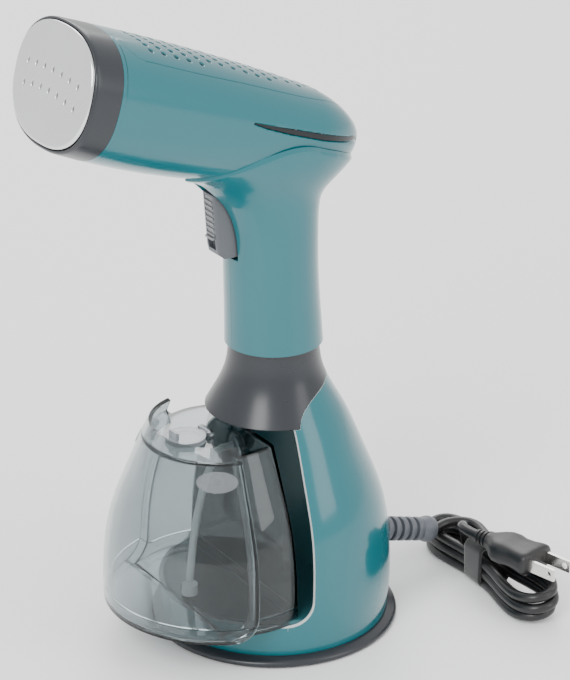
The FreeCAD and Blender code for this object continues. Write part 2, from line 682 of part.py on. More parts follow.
def make_trigger():
    half, gap = size("trigger_half"), size("trigger_gap")
    pivot_y, pivot_z, pin = size("pivot_y"), size("pivot_height"), size("pin_radius")
    spots = trigger_outline()
    edges = [line(start, end) for start, end in zip(spots, spots[1:] + spots[:1])]
    face = Part.Face(Part.Wire(edges))
    face.translate(Vector(-half, 0, 0))
    body = face.extrude(Vector(2 * half, 0, 0))
    soft = [edge for edge in body.Edges
            if abs(abs(edge.CenterOfMass.x) - half) < 1e-6 and edge.CenterOfMass.y < -29]
    body = body.makeFillet(1.2, soft)
    channel = lock_track(size("lock_half"), 204.2, 231.6, 2.4, 3.0)
    body = body.cut(channel)
    across = Vector(1, 0, 0)
    body = body.cut(Part.makeCylinder(pin + size("pin_gap"), 40, Vector(-20, pivot_y, pivot_z), across))
    body = body.cut(Part.makeCylinder(4.2, 5.4, Vector(-2.7, pivot_y, pivot_z), across))
    body = body.cut(Part.makeBox(5.4, 12, 4.2, Vector(-2.7, pivot_y, pivot_z - 2.1)))
    node("trigger", feature("trigger", body.removeSplitter()))

    top, low = 231.3, 204.4 + size("lock_travel") + 0.3
    slide = lock_track(size("lock_half") - 0.1, low, top, 2.3, -0.2)
    pitch = (top - low - 2.0) / 7
    ribs = [lock_track(size("lock_half") - 0.1, low + 1.6 + pitch * index, low + 2.8 + pitch * index,
                       2.3, 0.5) for index in range(7)]
    ribs.append(lock_track(size("lock_half") - 0.1, low, low + 1.2, 2.3, 1.5))
    for rib in ribs:
        slide = slide.fuse(rib)
    node("steam_lock", feature("steam_lock", slide.removeSplitter()))

    node("trigger_pin", cylinder("trigger_pin", "pin_radius", "16.4", at(-8.2, pivot_y, pivot_z, (0, 1, 0), 90)))
    coil = Part.makeHelix(1.15, 4.6, 2.75)
    wire = Part.Wire([Part.Circle(Vector(2.75, 0, 0), Vector(0, 1, 0.07), 0.45).toShape()])
    spring = Part.Wire(coil.Edges).makePipeShell([wire], True, True)
    spring.Placement = at(-2.3, pivot_y, pivot_z, (0, 1, 0), 90)
    node("trigger_spring", feature("trigger_spring", spring))


def lock_track(half, low, top, depth, proud):
    """A bar in the trigger's face between two heights: its depth behind the face, and how far proud."""
    (top_y, top_z), (low_y, low_z) = trigger_outline()[:2]
    slope = (top_y - low_y) / (top_z - low_z)

    def face_y(height):
        return low_y + slope * (height - low_z)

    spots = [(face_y(low) - proud, low), (face_y(low) + depth, low),
             (face_y(top) + depth, top), (face_y(top) - proud, top)]
    face = Part.Face(Part.Wire([line(start, end) for start, end in zip(spots, spots[1:] + spots[:1])]))
    face.translate(Vector(-half, 0, 0))
    return face.extrude(Vector(2 * half, 0, 0))


def make_bracket(inside):
    """The bracket in the handle that holds the pin and the microswitch, and the switch's plunger."""
    pivot_y, pivot_z, pin = size("pivot_y"), size("pivot_height"), size("pin_radius")
    plates = [Part.makeBox(2.0, 36, 36, Vector(x, -36, 200)) for x in (-8.2, 6.2)]
    web = Part.makeBox(16.4, 2.0, 36, Vector(-8.2, -2.0, 200))
    bracket = plates[0].fuse([plates[1], web]).common(inside)
    bracket = bracket.cut(Part.makeCylinder(pin, 40, Vector(-20, pivot_y, pivot_z), Vector(1, 0, 0)))
    node("trigger_bracket", feature("trigger_bracket", bracket.removeSplitter()))
    case = Part.makeBox(12.4, 8.4, 16, Vector(-6.2, -10.4, 204))
    well = Part.makeBox(3.2, 6, 3.2, Vector(-1.6, -10.4, 210.4))
    node("microswitch", feature("microswitch", case.cut(well)))
    plunger = Part.makeBox(3.0, 9.6, 3.0, Vector(-1.5, -17.7, 210.5))
    node("switch_plunger", feature("switch_plunger", plunger))


# ---- tank, drawn seated ----

def tank_form(inset, low, top):
    """The tank's solid: a front that matches the body and a narrower rear that enters the bay."""
    gap = size("tank_gap") + inset
    front = bell_solid(inset, low, top)
    mask = bay_prism()
    mask.translate(Vector(0, -gap, gap))
    rear = bell_solid(size("tank_inset") + inset, low, top)
    behind = Part.makeBox(400, 200, 400, Vector(-200, size("tank_back") - inset - 200, -100))
    return front.common(mask).fuse(rear.common(behind)).removeSplitter()


def button_place(side):
    """Centre of a release button on the tank's side; Z runs out, square to the surface."""
    angle = math.radians(size("button_angle"))
    height = size("button_height")
    radius = size("shoulder_radius") + (height - size("shoulder_height")) * (
        size("skirt_radius") - size("shoulder_radius")) / (size("skirt_height") - size("shoulder_height"))
    flat = Vector(side * math.sin(angle), -math.cos(angle), 0)
    lean = math.radians(23.0)
    outward = flat * math.cos(lean) + Vector(0, 0, math.sin(lean))
    across = Vector(0, 0, 1).cross(flat)
    return Placement(flat * radius + Vector(0, 0, height), Rotation(across, Vector(), outward, "ZXY"))


def button_prism(side, grow, start, length):
    """An oval prism on a button's axis."""
    ellipse = Part.Ellipse(Vector(), size("button_long") + grow, size("button_short") + grow)
    face = Part.Face(Part.Wire([ellipse.toShape()]))
    prism = face.extrude(Vector(0, 0, length))
    prism.Placement = button_place(side).multiply(at(z=start))
    return prism


def tank_shape(shape):
    moved = shape.copy()
    moved.translate(Vector(0, -size("tank_out"), 0))
    return moved


def make_tank():
    wall, base_top, deck = size("tank_wall"), size("tank_base_top"), size("tank_deck")
    low = size("deck_top") + size("tank_gap")
    gap = size("button_gap")
    outer = tank_form(0, base_top, deck)
    inner = tank_form(wall, base_top - 1, deck - wall)
    shell = outer.cut(inner)
    rim = bell_solid(0, deck - 1, size("tank_rim_top")).cut(bell_solid(wall, deck - 2, size("tank_rim_top") + 1))
    rim = rim.common(Part.makeBox(400, 200, 400, Vector(-200, rim_y(deck - 1) - size("tank_gap") - 200, 0)))
    shell = shell.fuse(rim)
    wells = []
    for side in (1, -1):
        depth = size("well_depth")
        well = button_prism(side, gap + 1.4, -depth, depth).common(outer)
        shell = shell.fuse(well)
        wells.append(button_prism(side, gap, 1.4 - depth, 30))
    for well in wells:
        shell = shell.cut(well)
    filler_y = size("filler_y")
    shell = shell.cut(Part.makeCylinder(size("filler_radius") + 0.3, 20, Vector(0, filler_y, deck - 10)))
    port = size("port_height")
    shell = shell.cut(Part.makeCylinder(size("nose_radius"), 10, Vector(0, size("tank_back") - 5, port), Vector(0, 1, 0)))
    shell = shell.removeSplitter()
    node("tank_shell", feature("tank_shell", tank_shape(shell)))

    tray = tank_form(0, low, base_top).cut(tank_form(wall, low + wall, base_top + 1))
    node("tank_base", feature("tank_base", tank_shape(tray)))

    nose = size("nose_radius")
    start = size("tank_back") - wall - 4
    valve = Part.makeCylinder(nose, size("nose_length") + wall + 4, Vector(0, start, port), Vector(0, 1, 0))
    flange = Part.makeCylinder(nose + 2, 2.4, Vector(0, size("tank_back") - wall - 2.4, port), Vector(0, 1, 0))
    bore = Part.makeCylinder(nose - 1.4, 30, Vector(0, start + 2, port), Vector(0, 1, 0))
    node("outlet_port", feature("outlet_port", tank_shape(valve.fuse(flange).cut(bore).removeSplitter())))
    plug = Part.makeCylinder(nose - 1.4, 4.0, Vector(0, size("tank_back"), port), Vector(0, 1, 0))
    slit = Part.makeBox(0.3, 10, 3.2, Vector(-0.15, size("tank_back") + 1.0, port - 1.6))
    node("outlet_valve", feature("outlet_valve", tank_shape(plug.cut(slit))))
    tube, _ = tube_along([(0, start, port), (0, start - 9, port), (0, start - 16, port - 14),
                          (0, start - 22, 60), (0, -18, 31)], 1.9)
    node("pickup_tube", feature("pickup_tube", tank_shape(tube)))
    strainer = Part.makeCylinder(4.0, 5.4, Vector(0, -18, low + wall + 0.2))
    strainer = strainer.cut(Part.makeCylinder(1.9, 8, Vector(0, -18, 30.4)))
    node("pickup_strainer", feature("pickup_strainer", tank_shape(strainer.cut(tube))))

    hinge_y, hinge_z = filler_y + size("cap_radius") + 1.6, deck + 1.5
    cap = Part.makeCylinder(size("cap_radius"), size("cap_thick"), Vector(0, filler_y, deck + 0.2))
    plug = Part.makeCylinder(size("filler_radius"), 3.2, Vector(0, filler_y, deck - 2.8))
    arm = Part.makeBox(6, 5, size("cap_thick"), Vector(-3, hinge_y - 5, deck + 0.2))
    barrel = Part.makeCylinder(1.5, 6, Vector(-3, hinge_y, hinge_z), Vector(1, 0, 0))
    tab = Part.makeBox(7, 1.6, 5.0, Vector(-3.5, filler_y - 7.5, deck + 1.2))
    cap = cap.fuse([plug, arm, barrel, tab])
    cap = cap.cut(Part.makeCylinder(0.75, 20, Vector(-10, hinge_y, hinge_z), Vector(1, 0, 0)))
    node("filler_cap", feature("filler_cap", tank_shape(cap.removeSplitter())))
    ears = [Part.makeBox(2, 3.0, 3.0, Vector(x, hinge_y - 1.5, deck)) for x in (-5.2, 3.2)]
    pin = Part.makeCylinder(0.7, 10.4, Vector(-5.2, hinge_y, hinge_z), Vector(1, 0, 0))
    node("cap_pin", feature("cap_pin", tank_shape(pin)))
    node("cap_ears", feature("cap_ears", tank_shape(Part.makeCompound([ear.cut(pin) for ear in ears]))))

    skin = bell_solid(-0.5, 60, deck).cut(bell_solid(2.2, 60, deck))
    for label, side in (("right", 1), ("left", -1)):
        pad = button_prism(side, 0, -8, 20).common(skin)
        stem = Part.makeCylinder(1.6, 4.2)
        stem.Placement = button_place(side).multiply(at(z=-5.6))
        node("release_button_" + label, feature("release_button_" + label, tank_shape(pad.fuse(stem).removeSplitter())))
        coil = Part.makeHelix(1.4, 4.2, 2.6)
        wire = Part.Wire([Part.Circle(Vector(2.6, 0, 0), Vector(0, 1, 0.085), 0.45).toShape()])
        spring = Part.Wire(coil.Edges).makePipeShell([wire], True, True)
        spring.Placement = button_place(side).multiply(at(z=1.4 - size("well_depth") + 0.5))
        node("button_spring_" + label, feature("button_spring_" + label, tank_shape(spring)))


# ---- works inside the rear of the body and the handle ----

def make_works(inside, inlet_parts, inlet_back):
    wall, back, port = size("wall"), size("bay_back"), size("port_height")
    socket = turned("docking_socket", [
        ("nose_radius + 0.3", "-2.2"), ("socket_radius", "-2.2"), ("socket_radius", "wall"),
        ("socket_radius + 2", "wall"), ("socket_radius + 2", "wall + 2"), ("2.6", "wall + 2"),
        ("2.6", "wall + 8"), ("1.4", "wall + 8"), ("1.4", "wall + 0.6"), ("nose_radius + 0.3", "wall + 0.6"),
    ])
    socket.Placement = at(0, back, port, (1, 0, 0), -90)
    node("docking_socket", socket)
    pump_y, low, top = size("pump_y"), size("pump_bottom"), size("pump_top")
    pump = Part.makeCylinder(size("pump_radius"), top - low, Vector(0, pump_y, low))
    coil = Part.makeCylinder(size("pump_radius") + 1.4, 16, Vector(0, pump_y, low + 14))
    inlet = Part.makeCylinder(1.8, 8, Vector(-4, pump_y, top))
    outlet = Part.makeCylinder(1.8, 8, Vector(5, pump_y, top))
    node("pump", feature("pump", pump.fuse([coil, inlet, outlet]).removeSplitter()))
    cradle = Part.makeBox(26, 22.2, low + 9 - size("deck_top"), Vector(-13, pump_y - 11, size("deck_top")))
    cradle = cradle.cut(Part.makeCylinder(size("pump_radius"), 80, Vector(0, pump_y, low)))
    room = bell_solid(wall, 5, 120)
    node("pump_cradle", feature("pump_cradle", cradle.common(room).removeSplitter()))

    radius = size("hose_radius")
    rear = back + wall
    suction, _ = tube_along([(0, rear + 8, port), (0, rear + 13, port), (-4, pump_y, port - 5),
                             (-4, pump_y, top + 8)], radius)
    node("suction_hose", feature("suction_hose", suction))
    place = plate_place(inlet_back, 0, -3.8)
    end = place.Base
    heading = place.Rotation.multVec(Vector(0, 0, 1))
    pressure, _ = tube_along([
        (5, pump_y, top + 8), (5, pump_y, top + 20), (5, 25, top + 36), (5, 22.5, 124), (5, 9, 146),
        (3, 8, 178), (1, 8.5, 212), (0, 6, 241), (0, -28, 255), tuple(end + heading * 24), tuple(end),
    ], radius)
    node("pressure_hose", feature("pressure_hose", pressure))
    fitting = fuse("steam_inlet", *inlet_parts)
    node("steam_inlet", fitting)
    terminal = Part.makeBox(12, 18, 12, Vector(-30, 22, size("deck_top")))
    node("terminal_block", feature("terminal_block", terminal.common(room)))
    loom, _ = tube_along([
        (-24, 31, size("deck_top") + 12), (-24, 31, 60), (-20, 29, 85), (-9, 24, 105), (-7, 22, 124),
        (-8, 10, 146), (-9, 9, 178), (-9, 9, 210), (-9, 4, 236), (-12, -20, 262),
    ], size("loom_radius"))
    node("wiring_loom", feature("wiring_loom", loom))

    board = block("board", "34", "46", "1.6", at())
    slope = Placement(Vector(0, size("plate_y"), size("plate_height")), Rotation(Vector(1, 0, 0), -size("head_pitch")))
    board.Placement = slope.multiply(at(-17, 78, 5))
    parts = [board]
    for index, (x, y, tall, radius_of) in enumerate(((-9, 90, "7", "3.5"), (7, 88, "5", "2.5"), (0, 108, "9", "4"))):
        parts.append(cylinder(f"board_part_{index}", radius_of, tall, slope.multiply(at(x, y, 6.6))))
    for index, side in enumerate((-15, 15)):
        parts.append(block(f"board_post_{index}", "2.5", "2.5", "26", slope.multiply(at(side, 84, 6.6))))
    node("control_board", common("control_board", fuse("board_whole", *parts), feature("board_room", inside)))


# ---- mains cord ----

def make_cord():
    length = size("relief_length")
    place = relief_place()
    relief = relief_form()
    cord_radius = size("cord_diameter") / 2
    start = relief_place(length)
    end_point = start.Base
    heading = start.Rotation.multVec(Vector(0, 0, 1))
    near = size("hank_fold")
    hank_left = Vector(-5.0, end_point.y + 1.6 + near, 0)
    turn = math.degrees(math.atan2(-6.0, size("hank_length")))
    hank_place = Placement(hank_left, Rotation(Vector(0, 0, 1), turn))
    reach = 3.4
    tube = Part.makeCylinder(cord_radius, reach, end_point, heading)
    node("strain_relief", feature("strain_relief", relief))
    clamp = Part.makeBox(20, 6, 9.4, Vector(-10, 44.5, size("deck_top")))
    lead = Part.makeCylinder(cord_radius, 60, Vector(0, 0, -30))
    lead.Placement = place
    node("cord_clamp", feature("cord_clamp", clamp.common(bell_solid(size("wall"), 5, 120)).cut(lead)))

    hank = hank_outline(0.0).extrude(Vector(0, 0, size("hank_height")))
    thick, wide = size("tie_thick"), size("tie_width")
    waist, tall = size("hank_waist"), size("hank_height")
    band = Part.makeBox(wide, 2 * (waist + thick), tall + thick,
                        Vector(38 - wide / 2, -waist - thick, 0))
    hollow = Part.makeBox(wide + 2, 2 * waist, tall - thick, Vector(37 - wide / 2, -waist, thick))
    band = band.cut(hollow)
    hank = hank.cut(band)
    hank.Placement = hank_place
    band.Placement = hank_place
    tube = tube.cut(hank)
    tube = tube.common(Part.makeBox(40, end_point.y + 4 - 80, 60, Vector(-20, 80, 0)))
    node("cord_hank", feature("cord_hank", hank))
    node("cord_tie", feature("cord_tie", band))
    node("cord_tube", feature("cord_tube", tube))

    plug_length, plug_width, plug_thick = size("plug_length"), size("plug_width"), size("plug_thick")
    case = Part.makeBox(plug_length, plug_width, plug_thick, Vector(0, -plug_width / 2, 0))
    case = case.makeFillet(2.4, [edge for edge in case.Edges if abs(edge.CenterOfMass.x - plug_length / 2) < 1])
    boot = Part.makeCone(cord_radius + 0.4, 5.0, 13, Vector(-13, 0, plug_thick / 2), Vector(1, 0, 0))
    plug_place = hank_place.multiply(Placement(
        Vector(53.0, -4.0, tall + 0.05), Rotation(Vector(0, 0, 1), 17)))
    case = case.fuse(boot).removeSplitter()
    blades = []
    for side in (-0.5, 0.5):
        middle = Vector(plug_length - 2, side * size("blade_spacing") - size("blade_thick") / 2,
                        plug_thick / 2 - size("blade_width") / 2)
        blade = Part.makeBox(size("blade_length") + 2, size("blade_thick"), size("blade_width"), middle)
        hole = Part.makeCylinder(1.6, 10, Vector(plug_length + size("blade_length") - 3.2, middle.y - 4,
                                                 plug_thick / 2), Vector(0, 1, 0))
        blades.append(blade.cut(hole))
    case = case.cut(Part.makeCompound(blades))
    blade_group = Part.makeCompound(blades)
    case.Placement = plug_place
    blade_group.Placement = plug_place
    node("plug_body", feature("plug_body", case))
    node("plug_blades", feature("plug_blades", blade_group))
    return hank_place


def hank_outline(shrink):
    """The hank from above: a round fold at each end, drawn in at the tie."""
    fold, length, waist = size("hank_fold") - shrink, size("hank_length"), size("hank_waist") - shrink
    left, right = 38 - size("tie_width") / 2, 38 + size("tie_width") / 2

    def flat(start, end):
        return Part.LineSegment(Vector(*start), Vector(*end)).toShape()

    edges = [
        Part.Arc(Vector(0, fold, 0), Vector(-fold, 0, 0), Vector(0, -fold, 0)).toShape(),
        flat((0, -fold, 0), (left, -waist, 0)), flat((left, -waist, 0), (right, -waist, 0)),
        flat((right, -waist, 0), (length, -fold, 0)),
        Part.Arc(Vector(length, -fold, 0), Vector(length + fold, 0, 0), Vector(length, fold, 0)).toShape(),
        flat((length, fold, 0), (right, waist, 0)), flat((right, waist, 0), (left, waist, 0)),
        flat((left, waist, 0), (0, fold, 0)),
    ]
    return Part.Face(Part.Wire(edges))


# ---- build, test and write ----

def write_nodes():
    doc.recompute()
    for thing in doc.Objects:
        if "Invalid" in thing.State or "Error" in thing.State:
            raise RuntimeError(f"{thing.Name} failed: {thing.State}")
    for thing in nodes:
        shape = thing.Shape
        if shape.isNull() or not shape.isValid() or not shape.Solids:
            raise RuntimeError(f"{thing.Label} has no valid solid")
        shape.exportStep(f"parts/{thing.Label}.step")
        print(f"{thing.Label:24s} {len(shape.Solids)} solid(s) {shape.Volume:10.1f} mm3")


screw_spots = make_base()
make_body(screw_spots)
make_casing()
case_inside = casing_solid(size("wall") + 0.1)
make_lamps()
heater_start = make_nozzle()
inlet_back, inlet_parts = make_heater(heater_start)
make_trigger()
make_bracket(case_inside)
make_tank()
make_works(case_inside, inlet_parts, inlet_back)
make_cord()
write_nodes()
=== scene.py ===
import math

import bmesh
import bpy
import numpy as np
from mathutils import Euler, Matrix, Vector


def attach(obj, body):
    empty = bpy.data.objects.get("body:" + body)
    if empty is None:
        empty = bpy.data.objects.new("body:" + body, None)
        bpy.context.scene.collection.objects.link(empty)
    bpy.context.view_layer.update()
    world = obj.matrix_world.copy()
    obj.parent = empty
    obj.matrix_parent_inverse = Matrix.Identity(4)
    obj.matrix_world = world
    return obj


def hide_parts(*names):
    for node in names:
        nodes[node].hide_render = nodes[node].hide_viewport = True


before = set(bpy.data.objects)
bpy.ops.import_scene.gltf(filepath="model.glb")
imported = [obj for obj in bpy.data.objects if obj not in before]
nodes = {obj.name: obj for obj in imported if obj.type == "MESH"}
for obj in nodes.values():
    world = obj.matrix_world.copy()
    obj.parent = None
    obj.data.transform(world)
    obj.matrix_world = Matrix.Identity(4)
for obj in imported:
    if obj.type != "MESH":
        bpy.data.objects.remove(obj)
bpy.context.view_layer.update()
mm = 0.001


# camera
scene = bpy.context.scene
cameraData = bpy.data.cameras.new("camera")
cameraData.lens, cameraData.sensor_width = 158.8, 36.0
camera = bpy.data.objects.new("camera", cameraData)
camera.location = (1.1295, -0.7196, 0.7366)
camera.rotation_euler = Euler((math.radians(66.3), 0.0, math.radians(57.26)))
scene.collection.objects.link(camera)
scene.camera = camera


# meshes from grids of points
def smoothLine(points, count=400):
    # natural cubic spline through the points, by distance along them, as count points
    spots = np.asarray(points, float)
    along = np.r_[0, np.cumsum(np.linalg.norm(np.diff(spots, axis=0), axis=1))]
    step = np.diff(along)
    size = len(spots)
    matrix, right = np.eye(size), np.zeros_like(spots)
    inner = np.arange(1, size - 1)
    matrix[inner, inner - 1], matrix[inner, inner + 1] = step[:-1], step[1:]
    matrix[inner, inner] = 2 * (step[:-1] + step[1:])
    slope = np.diff(spots, axis=0) / step[:, None]
    right[inner] = 6 * np.diff(slope, axis=0)
    bend = np.linalg.solve(matrix, right)
    where = np.linspace(0, along[-1], count)
    span = np.clip(np.searchsorted(along, where, side="right") - 1, 0, size - 2)
    width = step[span][:, None]
    after = (where - along[span])[:, None]
    before = width - after
    curve = (bend[span] * before ** 3 + bend[span + 1] * after ** 3) / (6 * width)
    curve += (spots[span] / width - bend[span] * width / 6) * before
    curve += (spots[span + 1] / width - bend[span + 1] * width / 6) * after
    return curve


def quadsOf(rows, columns, closedRows=False, closedColumns=False, start=0):
    # the four corners of every cell of a grid of points, as indices
    down = np.arange(rows if closedRows else rows - 1)
    across = np.arange(columns if closedColumns else columns - 1)
    i, j = np.meshgrid(down, across, indexing="ij")
    iNext, jNext = (i + 1) % rows, (j + 1) % columns
    corners = np.stack([i * columns + j, i * columns + jNext, iNext * columns + jNext, iNext * columns + j], -1)
    return corners + start


def makePiece(name, parts, body, material, flip=False, thick=0.0, bevel=0.0, masks=None, sharp=None):
    # parts: (points in mm, quads) pairs put together in one mesh; doubles are merged, so poles close
    points = np.concatenate([part[0].reshape(-1, 3) for part in parts]) * mm
    quads, start = [], 0
    for grid, corners in parts:
        quads.append(corners.reshape(-1, 4) + start)
        start += grid.reshape(-1, 3).shape[0]
    quads = np.concatenate(quads)
    if flip:
        quads = quads[:, ::-1]
    mesh = bpy.data.meshes.new(name)
    mesh.from_pydata(points, [], quads.tolist())
    for maskName, values in (masks or {}).items():
        layer = mesh.attributes.new(maskName, "FLOAT", "POINT")
        layer.data.foreach_set("value", np.asarray(values, np.float32).ravel())
    work = bmesh.new()
    work.from_mesh(mesh)
    bmesh.ops.remove_doubles(work, verts=work.verts, dist=2e-6)
    bmesh.ops.dissolve_degenerate(work, edges=work.edges, dist=1e-6)
    work.to_mesh(mesh)
    work.free()
    mesh.polygons.foreach_set("use_smooth", np.ones(len(mesh.polygons), bool))
    if sharp:
        mesh.set_sharp_from_angle(angle=math.radians(sharp))
    mesh.materials.append(material)
    piece = bpy.data.objects.new(name, mesh)
    scene.collection.objects.link(piece)
    if thick:
        wall = piece.modifiers.new("wall", "SOLIDIFY")
        wall.thickness, wall.offset, wall.use_even_offset = thick * mm, -1.0, False
    if bevel:
        edge = piece.modifiers.new("edge", "BEVEL")
        edge.width, edge.segments, edge.harden_normals = bevel * mm, 2, True
        edge.limit_method, edge.angle_limit = "ANGLE", math.radians(40)
    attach(piece, body)
    return piece


def gridPart(points, **closed):
    return points, quadsOf(points.shape[0], points.shape[1], **closed)


def turnedGrid(profile, around=160):
    # a profile of (radius, height) turned about Z: x = r sin a, y = -r cos a
    profile = np.asarray(profile, float)
    angle = np.linspace(0, 2 * np.pi, around, endpoint=False)[None, :]
    radius, height = profile[:, :1], profile[:, 1:]
    return np.stack([radius * np.sin(angle), -radius * np.cos(angle), height + 0 * angle], -1)


def softStep(value):
    value = np.clip(value, 0, 1)
    return value * value * (3 - 2 * value)


# materials and the grain that they share
def newGroup(name, inputs, outputs):
    group = bpy.data.node_groups.new(name, "ShaderNodeTree")
    for label, kind, value in inputs:
        socket = group.interface.new_socket(label, in_out="INPUT", socket_type=kind)
        socket.default_value = value
    for label, kind in outputs:
        group.interface.new_socket(label, in_out="OUTPUT", socket_type=kind)
    return group, group.nodes.new("NodeGroupInput"), group.nodes.new("NodeGroupOutput")


def mouldGrainGroup():
    # fine moulded grain: a height for a Bump, a roughness that wanders a little, and a tint mask
    group, given, out = newGroup(
        "mouldGrain",
        [("Size", "NodeSocketFloat", 900.0), ("Roughness", "NodeSocketFloat", 0.3), ("Spread", "NodeSocketFloat", 0.05)],
        [("Height", "NodeSocketFloat"), ("Roughness", "NodeSocketFloat"), ("Mask", "NodeSocketFloat")])
    link, make = group.links.new, group.nodes.new
    coords = make("ShaderNodeTexCoord")
    fine, broad = make("ShaderNodeTexNoise"), make("ShaderNodeTexNoise")
    broad.inputs["Scale"].default_value, broad.inputs["Detail"].default_value = 28.0, 4.0
    fine.inputs["Detail"].default_value = 3.0
    link(coords.outputs["Object"], fine.inputs["Vector"])
    link(coords.outputs["Object"], broad.inputs["Vector"])
    link(given.outputs["Size"], fine.inputs["Scale"])
    centred, scaled, total = (make("ShaderNodeMath") for _ in range(3))
    centred.operation, scaled.operation, total.operation = "SUBTRACT", "MULTIPLY", "ADD"
    centred.inputs[1].default_value = 0.5
    link(broad.outputs["Fac"], centred.inputs[0])
    link(centred.outputs[0], scaled.inputs[0])
    link(given.outputs["Spread"], scaled.inputs[1])
    link(scaled.outputs[0], total.inputs[0])
    link(given.outputs["Roughness"], total.inputs[1])
    link(fine.outputs["Fac"], out.inputs["Height"])
    link(total.outputs[0], out.inputs["Roughness"])
    link(broad.outputs["Fac"], out.inputs["Mask"])
    return group


mouldGrain = mouldGrainGroup()


def newMaterial(name, color, roughness, grain=900.0, spread=0.06, bump=0.05, tint=0.06, **extra):
    # a Principled shader with mouldGrain on its colour, roughness and normal
    material = bpy.data.materials.new(name)
    material.use_nodes = True
    tree = material.node_tree
    shader = tree.nodes["Principled BSDF"]
    link, make = tree.links.new, tree.nodes.new
    grainNode = make("ShaderNodeGroup")
    grainNode.node_tree = mouldGrain
    grainNode.inputs["Size"].default_value = grain
    grainNode.inputs["Roughness"].default_value = roughness
    grainNode.inputs["Spread"].default_value = spread
    mix = make("ShaderNodeMix")
    mix.data_type = "RGBA"
    mix.inputs[6].default_value = (*[c * (1 - tint) for c in color], 1)
    mix.inputs[7].default_value = (*[min(1, c * (1 + tint)) for c in color], 1)
    link(grainNode.outputs["Mask"], mix.inputs[0])
    link(mix.outputs[2], shader.inputs["Base Color"])
    link(grainNode.outputs["Roughness"], shader.inputs["Roughness"])
    if bump:
        bumpNode = make("ShaderNodeBump")
        bumpNode.inputs["Strength"].default_value = bump
        bumpNode.inputs["Distance"].default_value = 0.0002
        link(grainNode.outputs["Height"], bumpNode.inputs["Height"])
        link(bumpNode.outputs["Normal"], shader.inputs["Normal"])
    for socket, value in extra.items():
        shader.inputs[socket.replace("_", " ")].default_value = value
    return material


def paintShadeByMask(material, attribute, color, roughness):
    # painted shade: where the mesh's attribute is 1 the surface is painted near black, dull and without gloss, for the
    # shade seen through a hole
    tree = material.node_tree
    shader = tree.nodes["Principled BSDF"]
    mask = tree.nodes.new("ShaderNodeAttribute")
    mask.attribute_name = attribute
    for socket, kind, value in (
            ("Base Color", "RGBA", (*color, 1)), ("Roughness", "FLOAT", roughness), ("Metallic", "FLOAT", 0.0),
            ("Coat Weight", "FLOAT", 0.0), ("Specular IOR Level", "FLOAT", 0.05)):
        before = shader.inputs[socket]
        mix = tree.nodes.new("ShaderNodeMix")
        mix.data_type = kind
        low, high, result = (6, 7, 2) if kind == "RGBA" else (2, 3, 0)
        if before.links:
            tree.links.new(before.links[0].from_socket, mix.inputs[low])
        else:
            mix.inputs[low].default_value = before.default_value
        mix.inputs[high].default_value = value
        tree.links.new(mask.outputs["Fac"], mix.inputs[0])
        tree.links.new(mix.outputs[result], before)
    return material


teal = (0.005, 0.122, 0.148)
tealGloss = newMaterial("tealGloss", teal, 0.16, grain=500, bump=0.01, spread=0.03, tint=0.03,
                        Coat_Weight=0.3, Coat_Roughness=0.04)
# tealVent: glossy teal with painted shade in the vent holes, near black where the 'hollow' mask is 1
tealVent = paintShadeByMask(newMaterial("tealVent", teal, 0.16, grain=500, bump=0.01, spread=0.03, tint=0.03, Coat_Weight=0.3,
                                    Coat_Roughness=0.04), "hollow", (0.004, 0.012, 0.014), 0.7)
# tealLinerShaded: a duller teal for the bay's liner and deck; its rougher gloss is the liner's own, its darker tone is
# painted shade inside the bay
tealLinerShaded = newMaterial("tealLinerShaded", (0.018, 0.10, 0.115), 0.4)
slateGrey = newMaterial("slateGrey", (0.016, 0.019, 0.024), 0.36, bump=0.08)
slateSmooth = newMaterial("slateSmooth", (0.017, 0.020, 0.025), 0.28, bump=0.02)
sliderGrey = newMaterial("sliderGrey", (0.20, 0.205, 0.215), 0.38)
triggerGrey = newMaterial("triggerGrey", (0.085, 0.093, 0.104), 0.34, bump=0.05)
# paintedRimHighlight: a pale colour for the shell's cut rim, a painted highlight along its edge
paintedRimHighlight = newMaterial("paintedRimHighlight", (0.80, 0.82, 0.82), 0.35)
# plateSteel: steel with painted shade in the jet holes, near black where the 'hollow' mask is 1
plateSteel = paintShadeByMask(newMaterial("plateSteel", (0.80, 0.81, 0.82), 0.16, grain=60, spread=0.10, bump=0.0, Metallic=1.0),
                          "hollow", (0.03, 0.03, 0.03), 0.6)
steelDull = newMaterial("steelDull", (0.55, 0.55, 0.57), 0.32, Metallic=1.0)
castMetal = newMaterial("castMetal", (0.55, 0.55, 0.56), 0.5, grain=300, bump=0.2, Metallic=1.0)
bladeMetal = newMaterial("bladeMetal", (0.78, 0.76, 0.72), 0.22, Metallic=1.0)
clearTank = newMaterial("clearTank", (0.50, 0.55, 0.565), 0.03, grain=40, spread=0.02, bump=0.0, tint=0.01,
                        Transmission_Weight=1.0, IOR=1.45)
smokedClear = newMaterial("smokedClear", (0.50, 0.53, 0.56), 0.12, spread=0.02, bump=0.0, Transmission_Weight=0.75, IOR=1.45)
siliconePale = newMaterial("siliconePale", (0.70, 0.71, 0.70), 0.45, Subsurface_Weight=0.1)
nylonWhite = newMaterial("nylonWhite", (0.72, 0.73, 0.72), 0.4)
nylonBlack = newMaterial("nylonBlack", (0.02, 0.02, 0.022), 0.45)
rubberBlack = newMaterial("rubberBlack", (0.014, 0.014, 0.015), 0.55, bump=0.2)
cordBlack = newMaterial("cordBlack", (0.010, 0.010, 0.011), 0.34, grain=1500, bump=0.15)
plugBlack = newMaterial("plugBlack", (0.012, 0.012, 0.013), 0.38, grain=1200, bump=0.2)
reliefGrey = newMaterial("reliefGrey", (0.115, 0.125, 0.145), 0.42, bump=0.1)
tieFabric = newMaterial("tieFabric", (0.009, 0.009, 0.010), 0.85, grain=2600, bump=0.8, tint=0.3, Sheen_Weight=0.4)
